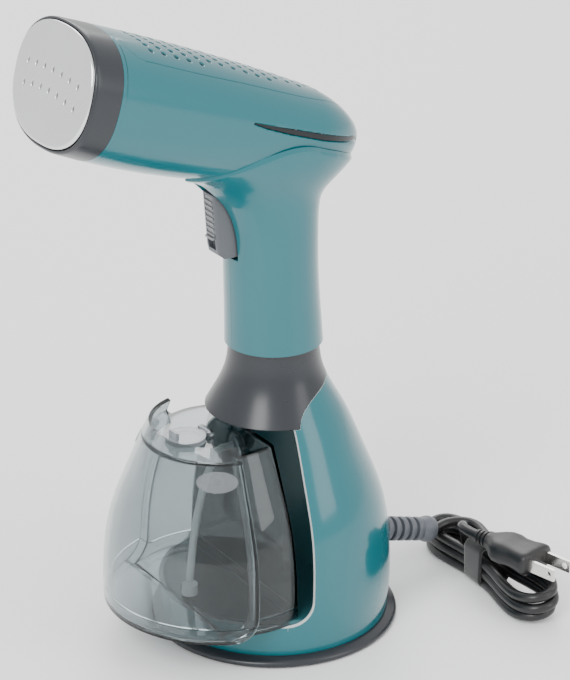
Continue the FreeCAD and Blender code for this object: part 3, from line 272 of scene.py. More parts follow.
lensDark = newMaterial("lensDark", (0.010, 0.012, 0.014), 0.22, bump=0.0, Specular_IOR_Level=0.3)
lampClear = newMaterial("lampClear", (0.85, 0.90, 0.92), 0.2, bump=0.0)
boardGreen = newMaterial("boardGreen", (0.02, 0.14, 0.06), 0.4)
print("materials ready")


# mains cord: one curve from the strain relief through the tied hank to the plug
hank = {
    "turn": math.radians(-4.17), "length": 82.2, "fold": 10.0, "waist": 5.8,
    "layer": 5.3, "lowest": 2.65, "tieX": 38.0, "diameter": 5.2,
}
reliefSpot = np.array([0.0, 56.2, 30.0])
reliefHeading = np.array([0.0, math.cos(math.radians(16)), -math.sin(math.radians(16))])
reliefEnd = reliefSpot + 43.5 * reliefHeading
hankOrigin = np.array([-5.0, reliefEnd[1] + 1.6 + 12.6, 0.0])


def onHank(points):
    # from the hank's own directions (X along it) to the steamer's
    points = np.asarray(points, float)
    c, s = math.cos(hank["turn"]), math.sin(hank["turn"])
    turned = np.stack([c * points[..., 0] - s * points[..., 1], s * points[..., 0] + c * points[..., 1], points[..., 2]], -1)
    return turned + hankOrigin


def hankTurns():
    # far strand, right fold, near strand, left fold, one layer lower after every right fold
    fold, waist, length, tieX = hank["fold"], hank["waist"], hank["length"], hank["tieX"]
    spots = []
    for index in range(3):
        high = hank["lowest"] + hank["layer"] * (3 - index)
        low = high - hank["layer"]
        loose = (0.0, 1.6, -0.8)[index]
        if index:
            spots += [(2, fold - 0.2, high), (14, fold - 1.6, high)]
        spots += [(tieX - 12, waist + 0.4, high), (tieX, waist, high), (tieX + 14, waist + 0.5, high),
                  (length - 14, fold - 0.6, high), (length - 1 + loose, fold + 0.4, high - 0.3)]
        spots += [(length + 8 + loose, fold - 3.6, high - 1.6), (length + 10.4 + loose, 0.4, (high + low) / 2),
                  (length + 8 + loose, 3.4 - fold, low + 1.6), (length - 1 + loose, -fold - 0.4, low + 0.3)]
        spots += [(length - 14, 0.6 - fold, low), (tieX + 14, -waist - 0.5, low), (tieX, -waist, low),
                  (tieX - 12, -waist - 0.4, low), (14, 1.6 - fold, low), (2, 0.2 - fold, low)]
        spots += [(-8 + loose, 3.6 - fold, low), (-10.4 + loose, 0, low), (-8 + loose, fold - 3.6, low)]
    return spots


heading = reliefHeading * 2.2
lead = [reliefEnd, reliefEnd + heading]
crossing = onHank([(4.4, -5.0, 18.7), (7.5, 4.2, 19.0), (15.0, 8.4, 18.7)])
rise = onHank([(3, 9.0, 2.65), (12, 5.0, 3.6), (17.5, 0.5, 9.0), (19.0, -2.0, 18.0), (22.5, -5.4, 25.4),
               (27.5, -9.4, 28.2), (34.4, -9.7, 28.35), (40.6, -7.8, 28.35)])
cordPoints = np.concatenate([np.array(lead), crossing, onHank(hankTurns()), rise]) * mm
cordData = bpy.data.curves.new("mainsCord", "CURVE")
cordData.dimensions = "3D"
spline = cordData.splines.new("NURBS")
spline.points.add(len(cordPoints) - 1)
spline.points.foreach_set("co", np.c_[cordPoints, np.ones(len(cordPoints))].ravel())
spline.order_u = 3
spline.use_endpoint_u = True
spline.resolution_u = 8
cordData.bevel_depth = hank["diameter"] / 2 * mm
cordData.bevel_resolution = 5
cordData.materials.append(cordBlack)
mainsCord = bpy.data.objects.new("mainsCord", cordData)
scene.collection.objects.link(mainsCord)
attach(mainsCord, "housing")
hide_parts("cord_tube", "cord_hank")

bare = cordData.copy()
bare.bevel_depth = 0.0
measure = bpy.data.objects.new("measure", bare)
line = bpy.data.meshes.new_from_object(measure)
spots = np.zeros(len(line.vertices) * 3)
line.vertices.foreach_get("co", spots)
bpy.data.objects.remove(measure)
bpy.data.curves.remove(bare)
bpy.data.meshes.remove(line)


def roundedLoop(halfWide, low, high, corner, count=12):
    # a rectangle with round corners in the (across, up) plane, going round once
    turn = np.linspace(0, np.pi / 2, count)
    corners = [(halfWide - corner, high - corner, 0), (corner - halfWide, high - corner, 1),
               (corner - halfWide, low + corner, 2), (halfWide - corner, low + corner, 3)]
    parts = [np.stack([x + corner * np.cos(turn + k * np.pi / 2), z + corner * np.sin(turn + k * np.pi / 2)], -1)
             for x, z, k in corners]
    return np.concatenate(parts)


def makeTie():
    # a flat band: the loop round the strands, as wide as the tape, its edges rounded
    tie = {"wide": 15.0, "thick": 1.4, "half": 9.7, "low": 0.0, "high": 23.1, "corner": 4.2}
    inner = roundedLoop(tie["half"] - tie["thick"], tie["low"] + 0.05, tie["high"] - tie["thick"],
                        tie["corner"] - tie["thick"] + 0.6)
    outer = roundedLoop(tie["half"], tie["low"], tie["high"], tie["corner"])
    edge = np.array([(-0.5, 0.0), (-0.5, 0.5), (-0.47, 0.92), (-0.42, 1.0), (0.42, 1.0), (0.47, 0.92),
                     (0.5, 0.5), (0.5, 0.0), (0.0, 0.0)])
    along = hank["tieX"] + edge[:, :1] * tie["wide"]
    share = edge[:, 1:, None]
    loop = inner[None] * (1 - share) + outer[None] * share
    ripple = 0.25 * np.sin(loop[..., 1] * 1.1 + along * 0.7) * edge[:, 1:] * (loop[..., 1] > 3)
    grid = np.stack([along + 0 * loop[..., 0], loop[..., 0] + ripple, loop[..., 1]], -1)
    tiePiece = makePiece("cordTie", [gridPart(onHank(grid), closedRows=True, closedColumns=True)], "housing",
                         tieFabric)
    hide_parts("cord_tie")
    return tiePiece


def plugSpace(points):
    # from the plug's own directions (X along its blades) to the steamer's
    points = np.asarray(points, float)
    c, s = math.cos(math.radians(17)), math.sin(math.radians(17))
    local = np.stack([53 + c * points[..., 0] - s * points[..., 1], -4 + s * points[..., 0] + c * points[..., 1],
                      21.85 + points[..., 2]], -1)
    return onHank(local)


def makePlug():
    # sections along X: half width, half height and squareness change from the ribbed boot to the flat face
    rows = np.array([
        (-13.0, 2.9, 2.9, 2.0), (-13.0, 3.3, 3.3, 2.0), (-11.6, 3.5, 3.5, 2.0), (-11.4, 2.9, 2.9, 2.0), (-10.6, 2.9, 2.9, 2.0),
        (-10.4, 3.9, 3.8, 2.0), (-9.0, 4.0, 3.9, 2.0), (-8.8, 3.2, 3.1, 2.0), (-8.0, 3.2, 3.1, 2.0), (-7.8, 4.3, 4.2, 2.0),
        (-6.4, 4.4, 4.3, 2.0), (-6.2, 3.6, 3.5, 2.0), (-5.4, 3.6, 3.5, 2.0), (-5.2, 4.8, 4.6, 2.1), (-3.6, 5.2, 4.8, 2.1),
        (-1.4, 6.6, 5.4, 2.4), (1.5, 9.0, 6.0, 2.8), (4.5, 10.5, 6.3, 3.2), (9.0, 10.6, 6.3, 3.4), (13.0, 9.7, 5.9, 3.4),
        (18.0, 9.9, 6.0, 3.6), (23.0, 10.9, 6.4, 3.8), (25.6, 10.9, 6.4, 3.8),
        (26.6, 10.5, 6.0, 3.6), (27.0, 9.6, 5.2, 3.4), (27.0, 0.0, 0.0, 3.4)])
    angle = np.linspace(0, 2 * np.pi, 72, endpoint=False)[None, :]
    c, s = np.cos(angle), np.sin(angle)
    power = rows[:, 3:4]
    swell = (np.abs(c) ** power + np.abs(s) ** power) ** (-1 / power)
    grid = np.stack([rows[:, :1] + 0 * c, rows[:, 1:2] * swell * c, 6.5 + rows[:, 2:3] * swell * s], -1)
    start = np.repeat(np.array([[[-13.0, 0.0, 6.5]]]), 72, axis=1)
    grid = np.concatenate([start, grid])
    plug = makePiece("plugBody", [gridPart(plugSpace(grid), closedColumns=True)], "housing",
                     plugBlack, flip=True, sharp=50)
    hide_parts("plug_body")
    return plug


def makeStrainRelief():
    # a collar in the wall, ribs with grooves between them, and a swollen end, turned about the cord
    profile = [(0.0, -1.0), (5.4, -1.0), (7.6, -0.2), (7.6, 1.6), (6.9, 2.4)]
    for index in range(6):
        start = 3.4 + 5.1 * index
        top = 6.5 - 0.05 * index
        profile += [(4.3, start), (4.3, start + 1.7), (top - 0.3, start + 1.9), (top, start + 2.3),
                    (top, start + 4.5), (top - 0.3, start + 4.9)]
    profile += [(5.6, 34.6), (6.0, 35.2), (6.9, 38.6), (6.9, 40.4), (6.0, 42.6), (4.6, 43.4), (2.7, 43.5), (0.0, 43.5)]
    grid = turnedGrid(profile, 64)
    drop = math.radians(16)
    axis = np.array([0, math.cos(drop), -math.sin(drop)])
    up = np.array([0, math.sin(drop), math.cos(drop)])
    placed = reliefSpot + grid[..., :1] * np.array([1.0, 0, 0]) + grid[..., 1:2] * up + grid[..., 2:] * axis
    relief = makePiece("strainRelief", [gridPart(placed, closedColumns=True)], "housing",
                       reliefGrey, flip=True, sharp=38)
    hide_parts("strain_relief")
    return relief


cordTie = makeTie()
plugBody = makePlug()
strainRelief = makeStrainRelief()
print("cord ready")


# bell-shaped body, skirt collar and base ring
bell = {
    "side": [(56.8, 4.6), (58.4, 22.0), (58.4, 35.0), (54.0, 67.3), (45.0, 91.0), (35.0, 114.0), (23.9, 137.0), (22.2, 150.0)],
    "wall": 2.4, "deck": 20.8, "corner": 12.0, "rimTop": -8.8, "rimLow": -13.4, "collarEdge": 115.5, "collarY": -6.0,
}
bellLine = smoothLine(bell["side"], 1200)


def bellRadius(height):
    return np.interp(height, bellLine[:, 1], bellLine[:, 0])


def rimY(height, forward=0.0, up=0.0):
    # how far forward the rim stands: a straight slope, with a quarter circle where it meets the deck
    low, top, corner = bell["deck"], bell["collarEdge"], bell["corner"]
    slope = bell["rimLow"] + (height - low) / (top - low) * (bell["rimTop"] - bell["rimLow"])
    below = np.clip((low + up + corner - height) / corner, 0, 1)
    return slope - corner * (1 - np.sqrt(1 - below ** 2)) - forward


sweepLine = smoothLine([(bell["collarY"], 115.5), (bell["collarY"] + 0.11 * 15.5, 119.375), (bell["collarY"] + 0.41 * 15.5, 123.87),
                        (bell["collarY"] + 0.94 * 15.5, 127.9), (bell["collarY"] + 1.68 * 15.5, 131.0)])


def collarHeight(y):
    # the collar's lower edge: level in front, sweeping up to the back
    return np.interp(y, sweepLine[:, 0], sweepLine[:, 1])


def settle(turnOf, count=60):
    # the height where a line up the bell, at the angle turnOf gives for a height, meets the collar's edge
    height = np.full_like(turnOf(120.0), 121.0)
    for _ in range(count):
        height = 0.6 * height + 0.4 * collarHeight(bellRadius(height) * np.cos(turnOf(height)))
    return height


def makeBodyShell():
    # column t, from -1 to 1, stands at the angle t * rimAngle(z) from the back; rows run from the hem to the collar
    def rimAngle(height):
        return np.arccos(np.clip(rimY(np.maximum(height, bell["deck"])) / bellRadius(height), -1, 1))

    t = np.linspace(-1, 1, 181)
    top = settle(lambda height: t * rimAngle(height))
    v = np.r_[np.linspace(0, 1, 14) * 0.145, 0.147 + 0.853 * np.linspace(0, 1, 120) ** 1.05]
    height = 4.6 + v[:, None] * (top[None, :] - 4.6)
    angle = t[None, :] * rimAngle(height)
    radius = bellRadius(height)
    main = np.stack([radius * np.sin(angle), radius * np.cos(angle), height], -1)
    sides = np.linspace(0, 1, 61)
    frontHeight = np.linspace(4.6, 20.8, 14)
    start = rimAngle(np.array(20.8))
    frontAngle = start + (2 * np.pi - 2 * start) * sides
    frontRadius = bellRadius(frontHeight)[:, None]
    front = np.stack([frontRadius * np.sin(frontAngle), frontRadius * np.cos(frontAngle),
                      frontHeight[:, None] + 0 * frontAngle], -1)
    shell = makePiece("bodyShell", [gridPart(main), gridPart(front)], "housing", tealGloss,
                      flip=True, thick=2.4, bevel=0.25)
    # the wall's rim faces take the pale material: a painted highlight along the cut edge of the bay
    shell.data.materials.append(paintedRimHighlight)
    shell.modifiers["wall"].material_offset_rim = 1
    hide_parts("body_shell")
    deck = np.linspace(0, 1, 24)[:, None]
    ring = np.linspace(0, 2 * np.pi, 160, endpoint=False)[None, :]
    deckRadius = (bellRadius(20.8) - 2.35) * deck
    grid = np.stack([deckRadius * np.sin(ring), deckRadius * np.cos(ring), 20.75 + 0 * deckRadius * ring], -1)
    # the bay deck takes the darker teal: painted shade inside the bay
    floor = makePiece("bayDeck", [gridPart(grid, closedColumns=True)], "housing", tealLinerShaded, flip=True, thick=2.3)
    return shell, floor


def makeCollar():
    angle = np.linspace(0, 2 * np.pi, 200, endpoint=False)
    low = settle(lambda height: angle + 0 * height)
    v = np.linspace(0, 1, 44)[:, None]
    height = low[None, :] + 0.25 + v * (150.0 - low[None, :] - 0.25)
    radius = bellRadius(height)
    grid = np.stack([radius * np.sin(angle), radius * np.cos(angle), height], -1)
    collar = makePiece("skirtCollar", [gridPart(grid, closedColumns=True)], "housing", slateSmooth,
                       flip=True, thick=2.3, bevel=0.4)
    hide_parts("skirt_collar")


def makeBaseRing():
    profile = [(50.0, 0.8), (61.2, 0.8), (61.75, 1.0), (62.0, 1.5), (62.0, 2.2), (61.7, 3.0), (61.0, 3.6), (60.0, 4.1), (58.4, 4.7),
               (57.5, 5.05), (56.9, 4.9), (56.0, 4.6), (50.0, 4.6)]
    ring = makePiece("baseRing", [gridPart(turnedGrid(profile, 220), closedRows=True, closedColumns=True)], "housing", slateSmooth,
                     flip=True, sharp=45)
    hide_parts("base_ring")


makeBodyShell()
makeCollar()
makeBaseRing()
print("body ready")


# head and handle
head = {
    "plateY": -117.5, "plateZ": 301.8, "tilt": 15.7, "pitch": 22.67, "length": 175.0, "dome": 38.0, "power": 2.4,
    "width": (36.0, 31.4, 21.8), "depth": (29.7, 28.5, 17.0), "nozzle": 15.5,
}
headPitch = math.radians(head["pitch"])


def station(back, inset=0.0):
    # centre, tilt and half sizes of the head's section at a distance behind the plate
    share = back / head["length"]
    y = head["plateY"] + math.cos(headPitch) * back
    z = head["plateZ"] - math.sin(headPitch) * back + 0.0566 * back * share
    tilt = np.radians(head["tilt"] + (head["pitch"] - head["tilt"]) * np.minimum(1.0, 2 * share))
    past = np.clip((back - head["length"] + head["dome"]) / (head["dome"] - inset), 0, 1)
    roundOff = np.sqrt(1 - past ** 2)

    def blend(front, middle, rear):
        return front * (1 - share) * (1 - 2 * share) + 4 * middle * share * (1 - share) + rear * share * (2 * share - 1) - inset

    return y, z, tilt, blend(*head["width"]) * roundOff, blend(*head["depth"]) * roundOff


def headPoint(back, angle, inset=0.0):
    # superellipse |x/w|^p + |u/d|^p = 1 in each section; angle 0 is to the right and 90 degrees is the top
    y, z, tilt, width, depth = station(back, inset)
    c, s = np.cos(angle), np.sin(angle)
    swell = (np.abs(c) ** head["power"] + np.abs(s) ** head["power"]) ** (-1 / head["power"])
    up = depth * swell * s
    return np.stack([width * swell * c + 0 * up, y + up * np.sin(tilt), z + up * np.cos(tilt)], -1)


def topPoint(x, y, inset=0.0):
    # the head's upper surface over a spot (x, y) of its plan
    back = (y - head["plateY"]) / math.cos(headPitch) - 9
    for _ in range(14):
        centre, z, tilt, width, depth = station(np.clip(back, 0, head["length"]), inset)
        up = depth * np.clip(1 - (np.abs(x) / np.maximum(width, 1e-6)) ** head["power"], 0, 1) ** (1 / head["power"])
        back = back + 0.7 * (y - centre - up * np.sin(tilt)) / math.cos(headPitch)
    return np.stack([x + 0 * y, centre + up * np.sin(tilt), z + up * np.cos(tilt)], -1)


def sectionOf(y, z):
    # which section a point of the side view lies in, and how far above its centre
    back = (y - head["plateY"]) / math.cos(headPitch)
    for _ in range(8):
        centre, middle, tilt, _w, _d = station(np.clip(back, 0, head["length"]))
        back = back + ((y - centre) * np.cos(tilt) - (z - middle) * np.sin(tilt)) / math.cos(headPitch - math.radians(20))
    return np.clip(back, 0, head["length"]), (y - centre) * np.sin(tilt) + (z - middle) * np.cos(tilt)


def headDistance(points):
    # roughly how far outside the head a point is, measured along the line from the section's centre
    back, up = sectionOf(points[..., 1], points[..., 2])
    _y, _z, _t, width, depth = station(back)
    p = head["power"]
    rho = ((np.abs(points[..., 0]) / np.maximum(width, 1)) ** p + (np.abs(up) / np.maximum(depth, 1)) ** p) ** (1 / p)
    return np.hypot(points[..., 0], up) * (1 - 1 / np.maximum(rho, 1e-3))


coverFront = head["plateY"] + head["nozzle"] + 9.5
coverSide = smoothLine([(coverFront + 9, 25.0), (coverFront + 38, 24.0), (coverFront + 68, 21.5), (coverFront + 92, 19.0),
                        (coverFront + 112, 15.0), (coverFront + 125, 8.0), (coverFront + 129.4, 0.0)])
coverCorner = [(coverFront, 8.0), (coverFront + 0.7, 14.5), (coverFront + 1.9, 19.0), (coverFront + 3.6, 22.0),
               (coverFront + 6.0, 24.2)]
coverLine = np.concatenate([coverCorner, coverSide])


def coverHalf(y):
    return np.interp(y, coverLine[:, 0], coverLine[:, 1], left=0.0, right=0.0)


hollowSide = {"front": (-31.0, 276.2), "back": (60.0, 243.6), "corner": (12.0, 257.5), "foot": (60.0, 229.0), "depth": 1.5,
              "strip": [(-29.5, 0.3), (-22.0, 1.5), (-8.0, 2.5), (12.0, 2.9), (32.0, 2.3), (46.0, 0.9)]}


def stripTall(y):
    return np.interp(y, [spot[0] for spot in hollowSide["strip"]], [spot[1] for spot in hollowSide["strip"]])


def belowLine(y, z, start, end):
    along = np.array(end, float) - np.array(start, float)
    along /= np.linalg.norm(along)
    return (y - start[0]) * along[1] - (z - start[1]) * along[0]


def wedgeDepth(points):
    # the hollow along each side: crisp under its upper edge, as deep behind the dark strip, then fading to its lower edge
    y, z = points[..., 1], points[..., 2]
    upper = belowLine(y, z, hollowSide["front"], hollowSide["back"])
    lower = np.minimum(-belowLine(y, z, hollowSide["front"], hollowSide["corner"]),
                       -belowLine(y, z, hollowSide["corner"], hollowSide["foot"]))
    fade = np.maximum(upper + lower - stripTall(y), 0.9)
    side = softStep((np.abs(points[..., 0]) - 7.0) / 5.0) * softStep((y + 30.5) / 2.0)
    return hollowSide["depth"] * softStep(upper / 0.5) * softStep(1 + (stripTall(y) - upper) / fade) * side


def makeCasing(side, name, node):
    # the head's half: rows along it, columns from the vent cover's edge round to the bottom
    back = np.r_[15.65, np.linspace(16.2, 137.0, 196), 137.0 + 38.0 * np.sin(np.linspace(0.012, np.pi / 2, 74))]
    low, high = np.full_like(back, 0.3), np.full_like(back, np.pi / 2)
    for _ in range(40):
        middle = (low + high) / 2
        spot = headPoint(back, middle)
        edge = coverHalf(spot[:, 1])
        wide = spot[:, 0] > np.where(edge > 0, edge + 0.28, 0)
        low, high = np.where(wide, middle, low), np.where(wide, high, middle)
    low = np.where(high > np.pi / 2 - 1e-6, np.pi / 2, low)
    share = np.linspace(0, 1, 150)[None, :]
    angle = low[:, None] + share * (-np.pi / 2 - low[:, None])
    outer = headPoint(back[:, None], angle)
    outer = outer + (headPoint(back[:, None], angle, 1.0) - outer) * wedgeDepth(outer)[..., None]
    outer[..., 0] *= side
    parts = [gridPart(outer)]

    grip = smoothLine([(150, 0, 22.2, 22.2), (159, -0.34, 21.85, 21.85), (170, -0.85, 21.45, 21.45), (182, -1.36, 21.2, 21.2),
                       (196, -1.7, 21.1, 21.1), (208, -2.0, 21.1, 21.5), (218, -2.9, 21.2, 22.9), (228, -4.1, 21.7, 26.7),
                       (238, -4.6, 22.6, 33.5), (248, -4.3, 24.0, 37.5)])
    slotHalf, slotLow, soft, reach = 5.8, 197.5, 13.0, 18.0

    def gripAt(height):
        return (np.interp(height, grip[:, 0], grip[:, k]) for k in (1, 2, 3))

    def gripPoint(turn, height):
        middle, wide, deep = gripAt(height)
        return np.stack([wide * np.sin(turn), middle - deep * np.cos(turn), height], -1)

    def gripDistance(points):
        middle, wide, deep = gripAt(points[..., 2])
        rho = np.hypot(points[..., 0] / wide, (points[..., 1] - middle) / deep)
        return np.hypot(points[..., 0], points[..., 1] - middle) * (1 - 1 / np.maximum(rho, 1e-3))

    def union(points):
        # smooth union of head and handle: the smaller distance, less h * h * soft / 4 where the two are alike
        a, b = headDistance(points), gripDistance(points)
        h = np.maximum(soft - np.abs(a - b), 0) / soft
        return np.minimum(a, b) - h * h * soft / 4

    stepAngle = math.asin(slotHalf / 21.4)
    turn = np.r_[np.linspace(0, stepAngle, 5), stepAngle + (np.pi - stepAngle) * np.linspace(0, 1, 96)[1:]]
    seam = np.full(turn.shape, 225.0)
    for _ in range(80):
        seam = np.minimum(seam + 0.3 * headDistance(gripPoint(turn, seam)), 262.0)
    crease = gripPoint(turn, seam)
    nudge = np.eye(3) * 0.5
    headOut = np.stack([headDistance(crease + step) - headDistance(crease - step) for step in nudge], -1)
    headOut /= np.linalg.norm(headOut, axis=-1, keepdims=True)
    outward = np.stack([np.sin(turn), -np.cos(turn), 0 * turn], -1)
    onward = outward - headOut * (outward * headOut).sum(-1, keepdims=True) + np.array([0, 0, 1e-3])
    onward /= np.linalg.norm(onward, axis=-1, keepdims=True)
    inside = crease - 9.0 * outward - 6.0 * headOut * np.array([0.3, 0.3, 1.0])
    bottom = gripPoint(turn, seam - reach)
    share = np.linspace(0, 1, 46)[1:, None, None]
    target = bottom + (crease + onward * reach - bottom) * share
    ray = (target - inside) * 1.8
    near, far = np.zeros(ray.shape[:2]), np.ones(ray.shape[:2])
    for _ in range(32):
        middle = (near + far) / 2
        out = union(inside + ray * middle[..., None]) > 0
        near, far = np.where(out, near, middle), np.where(out, middle, far)
    blendRows = inside + ray * far[..., None] - 0.35 * softStep((share - 0.5) / 0.5) * headOut
    lower = 150 + (slotLow - 150) * np.linspace(0, 1, 40)[:, None] + 0 * turn
    upper = slotLow + (bottom[:, 2] - slotLow) * np.linspace(0, 1, 16)[1:, None]
    rows = [gripPoint(turn + 0 * lower, lower), gripPoint(turn + 0 * upper, upper), blendRows]
    rows.append(blendRows[-1:] - 1.5 * headOut)
    handle = np.concatenate(rows)
    corners = quadsOf(*handle.shape[:2])
    keep = np.ones(corners.shape[:2], bool)
    keep[39:, :4] = False
    handle[..., 0] *= side
    parts.append((handle, corners[keep][:, ::-1]))
    piece = makePiece(name, parts, "housing", tealGloss, flip=side < 0, thick=2.0, bevel=0.3)
    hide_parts(node)


def makeVentCover():
    # a sheet over the plan: row y, column u * half width; the holes are hollows of the surface itself, painted near
    # black by the 'hollow' mask as the shade seen through them
    row, pitch = 4.4, 7.2
    y = np.r_[np.linspace(coverFront, coverFront + 6, 24), np.linspace(coverFront + 6.4, coverFront + 128.9, 318)][:, None]
    u = np.linspace(-1, 1, 131)[None, :]
    half = coverHalf(y)
    grid = topPoint(u * half, y + 0 * u)
    inner = topPoint(u * half, y + 0 * u, 1.0)
    along = (grid[..., 1] - head["plateY"]) * math.cos(headPitch) - (grid[..., 2] - head["plateZ"]) * math.sin(headPitch)
    line = np.round(np.abs(grid[..., 0]) / row)
    count = np.take(np.array([17, 16, 14, 11, 5, 0, 0]), line.astype(int))
    place = (along - 29.0 - 0.22 * row * line) / pitch
    index = np.clip(np.round(place), 0, np.maximum(count - 1, 0))
    away = np.hypot((place - index) * pitch, np.abs(grid[..., 0]) - line * row)
    hole = softStep((1.35 - away) / 0.35) * (count > 0)
    grid = grid + (inner - grid) * (1.1 * hole[..., None])
    # the 'hollow' mask paints shade into the hole hollows through tealVent
    cover = makePiece("ventCover", [gridPart(grid)], "housing", tealVent, thick=1.2, bevel=0.0,
                      masks={"hollow": hole})
    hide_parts("vent_cover")


def makeLens(side, name, node):
    # the dark strip under the hollow's upper edge: from pointed in front to its square end
    y = np.linspace(-29.5, 46.0, 110)[:, None]
    v = np.linspace(0, 1, 9)[None, :]
    (frontY, frontZ), (backY, backZ) = hollowSide["front"], hollowSide["back"]
    top = frontZ - (y - frontY) * (frontZ - backZ) / (backY - frontY) - 0.35
    z = top - v * stripTall(y)
    back, up = sectionOf(y + 0 * z, z)
    _y, _z, _t, width, depth = station(back, 0.5)
    x = width * np.clip(1 - (np.abs(up) / depth) ** head["power"], 0, 1) ** (1 / head["power"])
    grid = np.stack([x * side, y + 0 * z, z], -1)
    strip = makePiece(name, [gridPart(grid)], "housing", lensDark, flip=side < 0, thick=1.0)
    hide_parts(node)


def plateSpace(across, back, up):
    # the steam plate's own directions: back runs away from its face
    tilt = math.radians(head["tilt"])
    return np.stack([across + 0 * back, head["plateY"] + back * math.cos(tilt) + up * math.sin(tilt),
                     head["plateZ"] - back * math.sin(tilt) + up * math.cos(tilt)], -1)


def makeNozzle():
    # (distance behind the plate, inset) carried round the head's section
    rows = np.array([(15.5, 0.0), (12.0, 0.0), (8.0, 0.0), (4.0, 0.0), (2.4, 0.0), (1.6, 0.12), (1.1, 0.45), (0.95, 0.9),
                     (1.05, 1.3), (1.5, 1.5), (7.0, 1.55), (7.2, 2.4), (15.5, 2.4)])
    angle = np.linspace(0, 2 * np.pi, 220, endpoint=False)[None, :]
    grid = np.stack([headPoint(np.full((1,), back), angle[0], inset) for back, inset in rows])
    collar = makePiece("nozzleCollar", [gridPart(grid, closedRows=True, closedColumns=True)], "housing",
                       slateSmooth, sharp=40)
    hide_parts("nozzle_collar")


def makeSteamPlate():
    # rings from the centre out to a rounded edge; each jet is a small drop-shaped hollow above a faint streak, and the
    # hollow is painted near black as the shade seen through the jet
    ring = np.r_[np.linspace(0, 0.955, 150), 0.97, 0.985, 0.994, 1.0, 1.0, 1.0, 0.5, 0.0]
    drop = np.r_[np.zeros(150), 0.08, 0.28, 0.6, 1.1, 1.8, 3.4, 3.4, 3.4]
    angle = np.linspace(0, 2 * np.pi, 300, endpoint=False)
    c, s = np.cos(angle), np.sin(angle)
    swell = (np.abs(c) ** 2.4 + np.abs(s) ** 2.4) ** (-1 / 2.4)
    across, up = 34.2 * ring[:, None] * swell * c, 28.0 * ring[:, None] * swell * s
    back = (-1.0 + drop[:, None] + 0.5 * (ring[:, None] ** 2) * (ring[:, None] < 0.96)
            + 0.46 * (ring[:, None] >= 0.96) + 0 * across)
    hollow, streak = np.zeros_like(across), np.zeros_like(across)
    for height, bow in ((6.6, 0.19), (-3.1, 0.25)):
        for index in range(-3, 4):
            x, z = across - 7.6 * index, up - (height - bow * index * index)
            hollow = np.maximum(hollow, softStep((1 - np.hypot(x / 1.05, z / 1.9)) / 0.35))
            streak = np.maximum(streak, softStep((1 - np.abs(x) / 1.1) / 0.8) * softStep((-z - 1.0) / 1.5)
                                * softStep((z + 10.5) / 7.0))
    back = back + 0.75 * hollow + 0.07 * streak
    front = plateSpace(across, back, up)
    # the 'hollow' mask paints shade into the jet hollows through plateSteel
    return makePiece("steamPlate", [gridPart(front, closedColumns=True)], "housing", plateSteel,
                     flip=True, masks={"hollow": 0.9 * hollow})


makeCasing(1, "casingRight", "casing_right")
makeCasing(-1, "casingLeft", "casing_left")
makeVentCover()
makeLens(1, "statusLensRight", "status_lens_right")
makeLens(-1, "statusLensLeft", "status_lens_left")
makeNozzle()
steamPlate = makeSteamPlate()
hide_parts("steam_plate")
print("head ready")


# tank, drawn forward out of its bay
tank = {"out": 31.5, "gap": 0.3, "inset": 7.0, "back": 13.6, "low": 21.1, "seam": 29.0, "deck": 108.0, "rim": 115.0,
        "wall": 2.1, "fillerY": -19.0, "filler": 7.9}


def tankOutline(height, less=0.0):
    # once round the tank at each height: front arc, step in to the rear, rear arc, flat back; x = r sin a, y = -r cos a
    height = np.asarray(height, float)[:, None]
    radius, inner = bellRadius(height) - less, bellRadius(height) - tank["inset"] - less
    edge = rimY(height, tank["gap"] + less, tank["gap"])
    backY = tank["back"] - less
    frontEnd, innerStart = np.arccos(np.clip(-edge / radius, -1, 1)), np.arccos(np.clip(-edge / inner, -1, 1))
    innerEnd = np.arccos(np.clip(-backY / inner, -1, 1))
    arc, step, rear, flat = np.linspace(0, 1, 64), np.linspace(0, 1, 5)[1:], np.linspace(0, 1, 26)[1:], np.linspace(0, 1, 12)[1:]
    a = frontEnd * arc
    first = np.stack([radius * np.sin(a), -radius * np.cos(a)], -1)
    b = innerStart + (innerEnd - innerStart) * rear
    third = np.stack([inner * np.sin(b), -inner * np.cos(b)], -1)
    corner, start = first[:, -1:], np.stack([inner * np.sin(innerStart), -inner * np.cos(innerStart)], -1)
    second = corner + (start - corner) * step[None, :, None]
    end = third[:, -1:]
    fourth = end * np.array([1.0, 1.0]) - end * np.array([1.0, 0.0]) * flat[None, :, None]
    half = np.concatenate([first, second, third, fourth], 1)
    mirrored = half[:, -2:0:-1] * np.array([-1.0, 1.0])
    loop = np.concatenate([half, mirrored], 1)
    return np.concatenate([loop, height[..., None] + 0 * loop[..., :1]], -1) - np.array([0, tank["out"], 0])


def makeTankShell():
    sides = tankOutline(np.r_[np.linspace(tank["seam"] + 0.15, 104.5, 66), 106.0, 107.2, tank["deck"]])
    top = sides[-1]
    centre = np.array([0.0, tank["fillerY"] - tank["out"]])
    away = top[:, :2] - centre
    circle = centre + tank["filler"] * away / np.linalg.norm(away, axis=1)[:, None]
    share = np.linspace(0, 1, 12)[1:, None, None]
    flat = top[None, :, :2] + (circle - top[:, :2])[None] * share
    deck = np.concatenate([flat, 0 * flat[..., :1] + tank["deck"]], -1)
    wall = np.concatenate([sides, deck])
    height = np.linspace(tank["deck"] + 0.1, tank["rim"], 8)[:, None]
    reach = np.arccos(np.clip(-(rimY(height) - tank["gap"]) / bellRadius(height), -1, 1))
    angle = reach * np.linspace(-1, 1, 110)[None, :]
    radius = bellRadius(height)
    rim = np.stack([radius * np.sin(angle), -radius * np.cos(angle) - tank["out"], height + 0 * angle], -1)
    shell = makePiece("tankShell", [gridPart(wall, closedColumns=True), gridPart(rim)], "tank", clearTank,
                      thick=tank["wall"], bevel=0.35)
    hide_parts("tank_shell")


